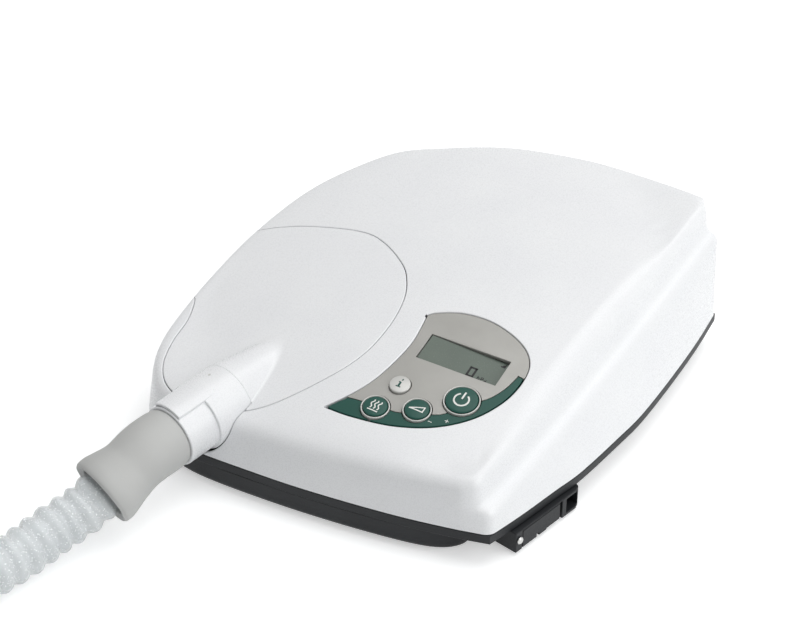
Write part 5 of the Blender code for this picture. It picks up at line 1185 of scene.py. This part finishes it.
# %% Panel plane and outlines
PANEL_PLACE = Vector((0.1782 * BODY_WIDTH, -0.1884 * BODY_DEPTH, 0.0))
PANEL_RIGHT_SLOPE = -0.08
PANEL_BACK_SLOPE = 0.25
PANEL_WIDTH = 0.0687
PANEL_HEIGHT = 0.0746
PANEL_EDGE_SHARES = (
    (-0.3919, 0.2206), (-0.3408, 0.2615), (-0.1742, 0.3226), (0.0345, 0.3271), (0.2476, 0.2612),
    (0.3755, 0.1620), (0.4214, 0.0228), (0.3975, -0.1699), (0.2883, -0.3647), (0.1020, -0.5142),
    (-0.1401, -0.6047), (-0.4116, -0.6380), (-0.6149, -0.6353),
)
PANEL_LEFT_SHARES = (
    (-0.6149, -0.6353), (-0.5140, -0.5032), (-0.4322, -0.3549), (-0.3833, -0.1789), (-0.3629, -0.0203),
    (-0.3724, 0.1013), (-0.3919, 0.2206),
)
PANEL_EDGE_POINTS = 90
PANEL_LEFT_POINTS = 40
MITRE_LIMIT = 0.35


def panel_frame():
    """Matrix of the panel's plane: X to the right, Y up the slope, Z out of the face."""
    out = Vector((-PANEL_RIGHT_SLOPE, -PANEL_BACK_SLOPE, 1.0)).normalized()
    right = Vector((1.0, 0.0, PANEL_RIGHT_SLOPE)).normalized()
    spot = PANEL_PLACE.copy()
    spot.z = top_height(spot.x, spot.y)
    return Matrix.Translation(spot) @ Matrix((right, out.cross(right), out)).transposed().to_4x4()


PANEL = panel_frame()


def on_panel(x, y, rise=0.0):
    """A point a little over the top surface, by its place on the panel's plane."""
    level = 0.0
    for _ in range(8):
        found = PANEL @ Vector((x, y, level))
        level -= (found.z - top_height(found.x, found.y)) * 0.95
    return PANEL @ Vector((x, y, level + rise))


def signed_area(ring):
    """Positive for an anticlockwise ring of points."""
    return 0.5 * sum(a[0] * b[1] - b[0] * a[1] for a, b in zip(ring, ring[1:] + ring[:1]))


def drawn_in(ring, shrink):
    """A ring of plan points drawn in by an even distance; below zero it grows."""
    reach = shrink if signed_area(ring) > 0 else -shrink
    found = []
    for i, point in enumerate(ring):
        here = Vector((point[0], point[1]))
        before = (here - Vector(ring[i - 1][:2])).normalized()
        after = (Vector(ring[(i + 1) % len(ring)][:2]) - here).normalized()
        sides = [Vector((way.y, -way.x)) for way in (before, after)]
        middle = (sides[0] + sides[1]).normalized()
        step = middle * (reach / max(middle.dot(sides[0]), MITRE_LIMIT))
        found.append((here.x - step.x, here.y - step.y))
    return found


def panel_points(shares):
    """Panel shares as points of its plane."""
    return [Vector((u * PANEL_WIDTH, v * PANEL_HEIGHT, 0.0)) for u, v in shares]


def panel_outline(shrink=0.0):
    """The panel's edge as (x, y) points."""
    outer = smooth_line(panel_points(PANEL_EDGE_SHARES), PANEL_EDGE_POINTS)
    left = smooth_line(panel_points(PANEL_LEFT_SHARES), PANEL_LEFT_POINTS)
    return drawn_in([(p.x, p.y) for p in outer + left[1:-1]], shrink)


print("panel edge", len(panel_outline()), "points")

# %% [markdown]
# Now the housing itself: the skin without the cover's lobe, the panel's opening, the saddle that
# the collar lies in, and the small data socket at the back.

# %% Housing
COVER_OUTLINE_SHARES = (
    (-0.540, 0.0085), (-0.487, 0.0100), (-0.430, 0.0290), (-0.354, 0.0470), (-0.233, 0.0595),
    (-0.162, 0.0431), (-0.0856, -0.0027), (-0.0495, -0.0422), (-0.0252, -0.0906), (-0.0144, -0.1542),
    (-0.0198, -0.2261), (-0.0406, -0.2821), (-0.0752, -0.3336), (-0.1129, -0.3794), (-0.1545, -0.4189), (-0.205, -0.4460),
    (-0.272, -0.4580), (-0.345, -0.4560), (-0.405, -0.4340), (-0.446, -0.3900), (-0.466, -0.330),
    (-0.474, -0.262), (-0.500, -0.205), (-0.540, -0.180),
)
COVER_POINTS = 260
COVER_SKIRT = 0.0110
COVER_CEILING = 0.0900
DATA_SOCKET_X = -0.0495 * BODY_WIDTH
DATA_SOCKET_Z = 0.0330
DATA_SOCKET_SIZE = (0.0130, 0.0110)


def lobe_block(grow):
    """The cover's outline as an upright block; its floor lies under the rim plane."""
    outline = [(p.x, p.y) for p in smooth_line(in_plan(COVER_OUTLINE_SHARES), COVER_POINTS, closed=True)]
    outline = drawn_in(outline, -grow)
    return block_mesh(outline, lambda x, y: rim_plane(x, y) - COVER_SKIRT - grow, COVER_CEILING)


def collar_block(radius, back, tip=None):
    """A round block along the nozzle, in front of a place near the seam; tip tapers it backwards."""
    profile = [(0.0, FAR_REACH), (radius, FAR_REACH), (radius, -back)]
    if tip:
        profile.append((tip, -FAIRING_LENGTH))
    profile.append((0.0, profile[-1][1]))
    mesh = turned(profile, COLLAR_SIDES, place=NOZZLE)
    for face in mesh.polygons:
        face.material_index = 1
    return mesh


def housing_mesh():
    """The white top housing."""
    x, z = DATA_SOCKET_X, DATA_SOCKET_Z
    across, up = DATA_SOCKET_SIZE[0] / 2 + EDGE_ROLL, DATA_SOCKET_SIZE[1] / 2 + EDGE_ROLL
    near, far = BODY_DEPTH * 0.4, BODY_DEPTH * 0.6
    back = [(x - across, near), (x + across, near), (x + across, far), (x - across, far)]
    cuts = [
        ("DIFFERENCE", lobe_block(EDGE_ROLL)),
        ("DIFFERENCE", block_mesh(panel_outline(-EDGE_ROLL), -FAR_REACH / 2, FAR_REACH / 2, PANEL)),
        ("DIFFERENCE", collar_block(COLLAR_RADIUS + SEAM_GAP + EDGE_ROLL, 0.0,
                                    COLLAR_RADIUS - FAIRING_TAPER * FAIRING_LENGTH)),
        ("DIFFERENCE", block_mesh(back, z - up, z + up)),
    ]
    return rolled_skin(carved(skin, cuts), normal_reader(skin))


housing = piece("housing_top", housing_mesh(), "housing_white", replaces=("top_housing",), sharp=0,
                weighted=False)
print("housing faces", len(housing.data.polygons))

# %% [markdown]
# The cover is the lobe of the pushed skin, a hair smaller than its opening, and cut clear of the
# collar. Its edge is rolled in the same way, so the seam catches one light and one dark line.

# %% Outlet cover


def cover_mesh():
    """The cover with its half-cone fairing."""
    cuts = [
        ("INTERSECT", lobe_block(-SEAM_GAP - EDGE_ROLL)),
        ("DIFFERENCE", collar_block(COLLAR_RADIUS + SEAM_GAP + EDGE_ROLL, SEAM_GAP)),
    ]
    return rolled_skin(carved(cover_skin, cuts), normal_reader(cover_skin))


cover = piece("cover_lobe", cover_mesh(), "housing_white", replaces=("outlet_cover",), sharp=0,
              weighted=False)
print("cover faces", len(cover.data.polygons))

# %% [markdown]
# The dark base tray carries everything. At the front it is flush with the housing, elsewhere only
# its lip is, and the hull below it is set in, so the machine seems to float. It is one moulding
# with soft edges, which we loft from the same stations as the housing.

# %% Base tray
LIP_HEIGHT = 0.0046
LIP_ROLL = 0.0005
LIP_STEPS = 3
HULL_BOTTOM = 0.0018
HULL_ROUND = 0.0036
HULL_STEPS = 8
HULL_INSET_FRONT = 0.0
HULL_INSET_CORNER = 0.0050
HULL_INSET_RIGHT = 0.0165
HULL_INSET_ROUND = 0.0040
HULL_SMOOTHING = 70
TRAY_WALL = 0.0022


def hull_ring(edge, normals):
    """Plan ring of the hull under the lip, smoothed at its corners."""
    ring = []
    for i, (p, n) in enumerate(zip(edge, normals)):
        if i == 0:
            inset = HULL_INSET_CORNER
        elif i < len(right_side):
            inset = HULL_INSET_RIGHT
        else:
            inset = HULL_INSET_ROUND + (HULL_INSET_FRONT - HULL_INSET_ROUND) * max(0.0, -n.y)
        ring.append(p - n * inset)
    for _ in range(HULL_SMOOTHING):
        ring = [(ring[i - 1] + 2 * p + ring[(i + 1) % len(ring)]) / 4 for i, p in enumerate(ring)]
    return ring


def tray_mesh():
    """The closed tray: inner floor, inner wall, lip and rounded hull."""
    edge = right_side + round_side
    normals = ring_normals(edge)
    hull = hull_ring(edge, normals)
    top, under = HOUSING_BOTTOM - SEAM_GAP, HOUSING_BOTTOM - SEAM_GAP - LIP_HEIGHT
    inner_floor = HULL_BOTTOM + TRAY_WALL

    def level(ring, inset, z):
        """A ring, drawn in and set at a height."""
        return [Vector((p.x - n.x * inset, p.y - n.y * inset, z)) for p, n in zip(ring, normals)]

    rings = [level(hull, TRAY_WALL * 2, inner_floor), level(hull, TRAY_WALL, inner_floor + TRAY_WALL),
             level(hull, TRAY_WALL, under), level(edge, TRAY_WALL, top - LIP_HEIGHT * 0.3),
             level(edge, TRAY_WALL, top)]
    turns = [math.pi / 2 * k / LIP_STEPS for k in range(LIP_STEPS + 1)]
    for turn in turns:
        rings.append(level(edge, LIP_ROLL * (1 - math.sin(turn)), top - LIP_ROLL * (1 - math.cos(turn))))
    for turn in turns:
        rings.append(level(edge, LIP_ROLL * (1 - math.cos(turn)), under + LIP_ROLL * (1 - math.sin(turn))))
    rings.append(level(hull, 0.0, under))
    for k in range(HULL_STEPS + 1):
        turn = math.pi / 2 * k / HULL_STEPS
        rise = HULL_ROUND * (1 - math.sin(turn))
        rings.append(level(hull, HULL_ROUND * (1 - math.cos(turn)), HULL_BOTTOM + rise))
    count = len(edge)
    points = [p for ring in rings for p in ring]
    faces = ring_faces(len(rings), count)
    last = (len(rings) - 1) * count
    points += [Vector((0.0, 0.0, inner_floor)), Vector((0.0, 0.0, HULL_BOTTOM))]
    faces += [(i, (i + 1) % count, len(points) - 2) for i in range(count)]
    faces += [(last + i, last + (i + 1) % count, len(points) - 1) for i in range(count)]
    return mesh_of(points, faces)


SCREW_PLACES = in_plan(((-0.0693, -0.4287), (0.1683, -0.4176), (-0.1980, 0.2932), (0.3366, 0.2488)))
SHANK_HOLE = 0.0017         # radius of the hole, with its clearance
HEAD_HOLE = 0.0033
HEAD_DEPTH = 0.0012
SCREW_REACH = (-0.0010, 0.0120)
low, high = SCREW_REACH
seat = HULL_BOTTOM + HEAD_DEPTH
screw_hole = ((0.0, high), (SHANK_HOLE, high), (SHANK_HOLE, seat), (HEAD_HOLE, seat), (HEAD_HOLE, low),
              (0.0, low))
holes = [("DIFFERENCE", turned(screw_hole, 32, place=Matrix.Translation(p))) for p in SCREW_PLACES]
tray = piece("base_tray_moulded", carved(tray_mesh(), holes), "tray_black", replaces=("base_tray",), sharp=35)
print("tray faces", len(tray.data.polygons))

# %% [markdown]
# The keypad is a pressed and painted sheet in two colours: silver above, and dark green along the
# lower rim. We cover each outline with small triangles that follow the top's curve, leave out the
# window and the key holes, and roll the edges as on the housing. Only the line between them shows.

# %% Silver faceplate and green band
PLATE_SINK = 0.0004
PLATE_ROLL = 0.00025
PLATE_DEPTH = 0.0014
PLATE_GRID = 0.0016
PANEL_BORDER = 0.0005
WINDOW_SIZE = (0.0383, 0.0147)
RING_WIDTH = 0.0010
BAND_EDGE_SHARES = (
    (-0.5141, -0.5105), (-0.4279, -0.5045), (-0.2171, -0.4992), (-0.1487, -0.4902), (0.0358, -0.4305),
    (0.1076, -0.3878), (0.2545, -0.2287), (0.3045, -0.1658), (0.3443, -0.0754), (0.3660, 0.0322),
)
BAND_EDGE_POINTS = 40
BAND_RIM_POINTS = 120
BAND_RIM_START = 40         # the rim's first points run along the top, away from the band
BAND_TIP = 0.6
SHEET_REACH = 0.09
KEYS = {                    # place as shares of the panel's width and height, radius as a share of its height
    "power": (0.1557, -0.2828, 0.0938), "ramp": (-0.0597, -0.4477, 0.0710),
    "heater": (-0.3086, -0.5241, 0.0710), "info": (-0.2533, -0.3271, 0.0617),
}


def band_outline(shrink=0.0):
    """The green band: the lower rim of the panel under the line between the keys."""
    edge = smooth_line(panel_points(BAND_EDGE_SHARES), BAND_EDGE_POINTS)
    outer = smooth_line(panel_points(PANEL_EDGE_SHARES), BAND_RIM_POINTS)
    right_top = BAND_EDGE_SHARES[-1][1] * PANEL_HEIGHT
    lower = [p for i, p in enumerate(outer) if p.y < right_top and i > BAND_RIM_START]
    left = panel_points(PANEL_LEFT_SHARES[:2])
    ring = [(p.x, p.y) for p in edge + lower[::2] + [left[0].lerp(left[1], BAND_TIP)]]
    return drawn_in(drawn_in(ring, PANEL_BORDER), shrink)


def circle(x, y, radius, sides=64):
    """Points of a circle."""
    turn = 2 * math.pi / sides
    return [(x + radius * math.cos(i * turn), y + radius * math.sin(i * turn)) for i in range(sides)]


def inside(ring, x, y):
    """Whether a plan point lies in a ring."""
    found = False
    for (ax, ay), (bx, by) in zip(ring, ring[1:] + ring[:1]):
        if (ay > y) != (by > y) and x < ax + (bx - ax) * (y - ay) / (by - ay):
            found = not found
    return found


def top_normal(point):
    """The top's normal over a plan point."""
    step = 0.0005
    across = top_height(point.x + step, point.y) - top_height(point.x - step, point.y)
    back = top_height(point.x, point.y + step) - top_height(point.x, point.y - step)
    return Vector((-across, -back, 2 * step)).normalized()


def sheet_mesh(outline, holes):
    """A sheet that follows the top, with rolled edges and holes."""
    points, edges = [], []
    for ring in [outline] + holes:
        first = len(points)
        points += [Vector(p) for p in ring]
        edges += [(first + i, first + (i + 1) % len(ring)) for i in range(len(ring))]
    rims = list(points)

    def covered(x, y):
        """Whether the sheet has material there."""
        return inside(outline, x, y) and not any(inside(hole, x, y) for hole in holes)

    steps = int(SHEET_REACH / PLATE_GRID)
    for j in range(-steps, steps // 2):
        for i in range(-steps // 2, steps // 2):
            spot = Vector((i * PLATE_GRID, j * PLATE_GRID))
            if min((spot - p).length for p in rims) > PLATE_GRID / 2 and covered(*spot):
                points.append(spot)
    spots, _, cells, *_ = delaunay_2d_cdt(points, edges, [], 1, 1e-7)
    kept = []
    for cell in cells:
        x, y = (sum(spots[i][k] for i in cell) / len(cell) for k in (0, 1))
        if covered(x, y):
            kept.append(tuple(cell))
    mesh = bpy.data.meshes.new("sheet")
    mesh.from_pydata([on_panel(p[0], p[1], -PLATE_SINK) for p in spots], [], kept)
    return rolled_skin(mesh, top_normal, PLATE_ROLL, PLATE_DEPTH)


def key_places():
    """Name, place on the panel and radius of each key."""
    return [(name, u * PANEL_WIDTH, v * PANEL_HEIGHT, r * PANEL_HEIGHT) for name, (u, v, r) in KEYS.items()]


def key_holes(grow):
    """A round hole for each key; where one reaches over a sheet's edge it bites into it."""
    return [circle(x, y, radius + (0.0 if name == "info" else RING_WIDTH) + grow)
            for name, x, y, radius in key_places()]


def window_ring(grow):
    """The display's window as a ring."""
    w, h = WINDOW_SIZE[0] / 2 + grow, WINDOW_SIZE[1] / 2 + grow
    return [(-w, -h), (w, -h), (w, h), (-w, h)]


holes = key_holes(SEAM_GAP + PLATE_ROLL)
band = piece("keypad_green_band", sheet_mesh(band_outline(SEAM_GAP + PLATE_ROLL), holes), "key_green",
             replaces=("keypad_band",), sharp=0, weighted=False)
openings = holes + [window_ring(PLATE_ROLL), band_outline(-PLATE_ROLL)]
bezel = piece("keypad_faceplate", sheet_mesh(panel_outline(SEAM_GAP + PLATE_ROLL), openings), "panel_silver",
              replaces=("display_bezel",), sharp=0, weighted=False)
print("band and faceplate faces", len(band.data.polygons), len(bezel.data.polygons))

# %% [markdown]
# The four keys are domed plastic caps, three of them green in a pale ring and one pale. We turn
# caps and rings on the lathe, with small roundings, and set their signs on top as thin printed
# strokes, which are raised a few hundredths of a millimetre, as thick screen print is.

# %% Rings and keys
PLATE_THICKNESS = 0.0020
BUTTON_STAND = 0.0007
BUTTON_FLANGE = 0.0009
FLANGE_THICKNESS = 0.0008
STEM_RADIUS = 0.0016
KEY_DOME = 0.0004
SIGN_RISE = 0.00006
SIGN_STEPS = 10
SIGN_CURVE_POINTS = 8       # lines with fewer points are straight strokes with square corners
KEY_SIDES = 72
DOME_SHARES = (0.0, 0.2, 0.4, 0.55, 0.7, 0.8, 0.88)
RING_STEPS = 8
POWER_TURNS = [math.radians(32 + 296 * i / 30) for i in range(31)]
WAVE_STEPS = [i / 16 for i in range(17)]
# Each stroke is its points and its width, in shares of the key's radius
SIGNS = {
    "power": [([(0.46 * math.sin(a), -0.04 + 0.46 * math.cos(a)) for a in POWER_TURNS], 0.11),
              ([(0.0, 0.02), (0.0, 0.58)], 0.11)],
    "ramp": [([(-0.58, -0.16), (0.56, 0.34), (0.56, -0.16), (-0.58, -0.16)], 0.10)],
    "heater": [([(x + 0.08 * math.sin(9 * t), -0.34 + 0.88 * t) for t in WAVE_STEPS], 0.10)
               for x in (-0.32, 0.0, 0.32)] + [([(-0.46, -0.50), (0.46, -0.50)], 0.10)],
    "info": [([(0.0, -0.36), (0.0, 0.18)], 0.20), ([(-0.24, -0.38), (0.24, -0.38)], 0.11),
             ([(-0.20, 0.17), (0.02, 0.17)], 0.10), ([(-0.02, 0.50), (0.10, 0.50)], 0.20)],
}


def place_on_panel(x, y):
    """Matrix of a place on the panel, at the height of the top."""
    level = (PANEL.inverted() @ on_panel(x, y)).z
    return PANEL @ Matrix.Translation((x, y, level))


def key_top(share):
    """Height of a key's dome at a share of its radius."""
    return BUTTON_STAND + KEY_DOME * (1 - share * share)


def key_mesh(x, y, radius):
    """One key with its flange and stem."""
    lowest = min((PANEL.inverted() @ on_panel(*p)).z for p in circle(x, y, radius + BUTTON_FLANGE, 12))
    here = (PANEL.inverted() @ on_panel(x, y)).z
    under = lowest - PLATE_SINK - PLATE_THICKNESS - SEAM_GAP - here
    wide, lower, floor = radius + BUTTON_FLANGE, under - FLANGE_THICKNESS, under - FLANGE_THICKNESS - 0.0008
    dome = [(radius * share, key_top(share)) for share in DOME_SHARES]
    edge = [(radius * 0.93, key_top(0.93) - 0.00001), (radius * 0.97, BUTTON_STAND - 0.00008),
            (radius * 0.993, BUTTON_STAND - 0.0002), (radius, BUTTON_STAND - 0.0004), (radius, under)]
    low = [(wide, under), (wide, lower), (STEM_RADIUS, lower), (STEM_RADIUS, floor), (0.0, floor)]
    return turned(dome + edge + low, KEY_SIDES, place=place_on_panel(x, y))


def strokes_of(lines):
    """The strokes of some lines: a curve stays whole, and a line with corners is cut up there."""
    strokes = []
    for line, width in lines:
        if len(line) > SIGN_CURVE_POINTS:
            strokes.append((line, width))
            continue
        for start, end in zip(line, line[1:]):
            along = (Vector(end) - Vector(start)).normalized() * (width / 2)
            cap = along if len(line) > 2 else Vector((0.0, 0.0))
            low, high = Vector(start) - cap, Vector(end) + cap
            strokes.append(([low.lerp(high, i / SIGN_STEPS) for i in range(SIGN_STEPS + 1)], width))
    return strokes


def ribbon_mesh(lines, radius, place, height=lambda share: 0.0):
    """Thin raised strokes in shares of a radius; height is that of the face below them."""
    points, faces = [], []
    for line, width in strokes_of(lines):
        flat = [Vector((u * radius, v * radius)) for u, v in line]
        first = len(points)
        for i, here in enumerate(flat):
            before, after = flat[max(i - 1, 0)], flat[min(i + 1, len(flat) - 1)]
            along = (after - before).normalized()
            side = Vector((-along.y, along.x)) * (width * radius / 2)
            for spot in (here + side, here - side):
                top = height(spot.length / radius)
                points += [(spot.x, spot.y, top + SIGN_RISE), (spot.x, spot.y, top - SIGN_RISE * 3)]
        for i in range(len(flat) - 1):
            a, b = first + 4 * i, first + 4 * i + 4
            for p, q in ((0, 1), (1, 3), (3, 2), (2, 0)):
                faces.append((a + p, a + q, b + q, b + p))
        end = first + 4 * (len(flat) - 1)
        faces += [(first, first + 2, first + 3, first + 1), (end, end + 1, end + 3, end + 2)]
    return mesh_of(points, faces, place)


for key_name, key_x, key_y, key_radius in key_places():
    spot = place_on_panel(key_x, key_y)
    if key_name != "info":
        inner, outer = key_radius + SEAM_GAP, key_radius + RING_WIDTH
        low = -PLATE_SINK - PLATE_THICKNESS
        turns = [math.pi * i / RING_STEPS for i in range(RING_STEPS + 1)]
        arc = [((inner + outer) / 2 - (outer - inner) / 2 * math.cos(a), PLATE_SINK * math.sin(a))
               for a in turns]
        ring = turned([(inner, low)] + arc + [(outer, low)], KEY_SIDES, closed=True, place=spot)
        piece(key_name + "_light_ring", ring, "ring_grey", replaces=(key_name + "_button_ring",), sharp=50)
    cap_slot = "ring_grey" if key_name == "info" else "key_green"
    sign_slot = "key_green" if key_name == "info" else "filter_white"
    piece(key_name + "_cap", key_mesh(key_x, key_y, key_radius), cap_slot, body=key_name + "_key",
          replaces=(key_name + "_button",), sharp=50)
    sign = ribbon_mesh(SIGNS[key_name], key_radius, spot, key_top)
    piece(key_name + "_sign", sign, sign_slot, body=key_name + "_key", weighted=False)
print("keys", [name for name, *_ in key_places()])

# %% [markdown]
# The display shows one large figure with its unit beside it and a small wedge in the corner. The
# segments of such a display are dark and flat, so they are thin strokes just above the glass. The
# band carries a minus and a plus sign between the ramp and power keys.

# %% Display marks and band marks
GLASS_TOP = -0.0020
FIGURE = [([(-0.5, -0.85), (-0.5, 0.85), (0.5, 0.85), (0.5, -0.85), (-0.5, -0.85)], 0.34)]
UNIT = [([(-1.9, -0.6), (-1.9, 0.9)], 0.3), ([(-1.9, 0.1), (-1.4, 0.3), (-1.1, 0.0), (-1.1, -0.6)], 0.3),
        ([(-0.4, -0.6), (-0.4, 0.9), (0.3, 0.8), (0.5, 0.45), (0.3, 0.1), (-0.4, 0.05)], 0.3),
        ([(1.8, 0.3), (1.8, -0.6), (1.2, -0.6), (1.1, -0.2), (1.8, -0.1)], 0.3)]
WEDGE = [([(-0.8, -0.5), (0.8, -0.5)], 0.5), ([(-0.2, 0.0), (0.8, 0.0)], 0.5),
         ([(0.4, 0.45), (0.8, 0.45)], 0.45)]
MINUS = [([(-1.0, 0.0), (1.0, 0.0)], 0.32)]
PLUS = MINUS + [([(0.0, -1.0), (0.0, 1.0)], 0.32)]
BAND_MARK_SIZE = 0.0009
DISPLAY_MARKS = {           # strokes, place on the panel and size
    "display_figure": (FIGURE, 0.0060, -0.0037, 0.0027), "display_unit": (UNIT, 0.0118, -0.0055, 0.0011),
    "display_wedge": (WEDGE, 0.0168, 0.0054, 0.0013),
}
BAND_MARKS = {"minus_mark": (MINUS, 0.0037, -0.0364), "plus_mark": (PLUS, 0.0100, -0.0332)}

glass_place = PANEL @ Matrix.Translation((0.0, 0.0, GLASS_TOP))
for mark_name, (lines, x, y, size) in DISPLAY_MARKS.items():
    mark = ribbon_mesh(lines, size, glass_place @ Matrix.Translation((x, y, 0.0)))
    piece(mark_name, mark, "rubber_black", weighted=False)
for mark_name, (lines, x, y) in BAND_MARKS.items():
    spot = place_on_panel(x, y) @ Matrix.Translation((0.0, 0.0, -PLATE_SINK))
    piece(mark_name, ribbon_mesh(lines, BAND_MARK_SIZE, spot), "filter_white", weighted=False)
print("marks on the display and the band")

# %% [markdown]
# The connection bay with its filter door and screw, the feet and a few inner parts already have
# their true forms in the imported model. What they lack is soft edges, so each gets a copy whose
# edges are rounded by a few tenths of a millimetre, as those of every moulding are.

# %% Soft edges for the small parts
SOFT_EDGES = {
    "connection_bay": 0.00035, "data_socket": 0.0004, "display_glass": 0.0001, "bay_screw": 0.00015,
    "foot_front_left": 0.0004, "foot_front_right": 0.0004,
    "foot_back_left": 0.0004, "foot_back_right": 0.0004,
    "filter_door": 0.00025, "blower_upper_case": 0.0005, "outlet_socket": 0.0003,
}
SOFT_ABOVE = math.radians(35)       # flatter edges stay as they are
FLAT_BELOW = math.radians(1.0)


def softened(name, width):
    """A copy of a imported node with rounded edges."""
    source = nodes[name]
    mesh = source.data.copy()
    mesh.transform(Matrix.Translation(-MIDDLE) @ source.matrix_world)
    slot = next(s for s in FINISHES if s in source.material_slots[0].material.name)
    work = bmesh.new()
    work.from_mesh(mesh)
    bmesh.ops.remove_doubles(work, verts=work.verts, dist=1e-6)
    bmesh.ops.dissolve_limit(work, angle_limit=FLAT_BELOW, verts=work.verts, edges=work.edges)
    edges = [e for e in work.edges if len(e.link_faces) == 2 and e.calc_face_angle(0.0) > SOFT_ABOVE]
    bmesh.ops.bevel(work, geom=edges, offset=width, segments=3, profile=0.5, affect="EDGES",
                    clamp_overlap=True)
    work.to_mesh(mesh)
    work.free()
    body = "door" if name == "filter_door" else "machine"
    return piece("soft_" + name, mesh, slot, body=body, replaces=(name,), sharp=45)


for soft_name, soft_width in SOFT_EDGES.items():
    softened(soft_name, soft_width)
print("softened", len(SOFT_EDGES))
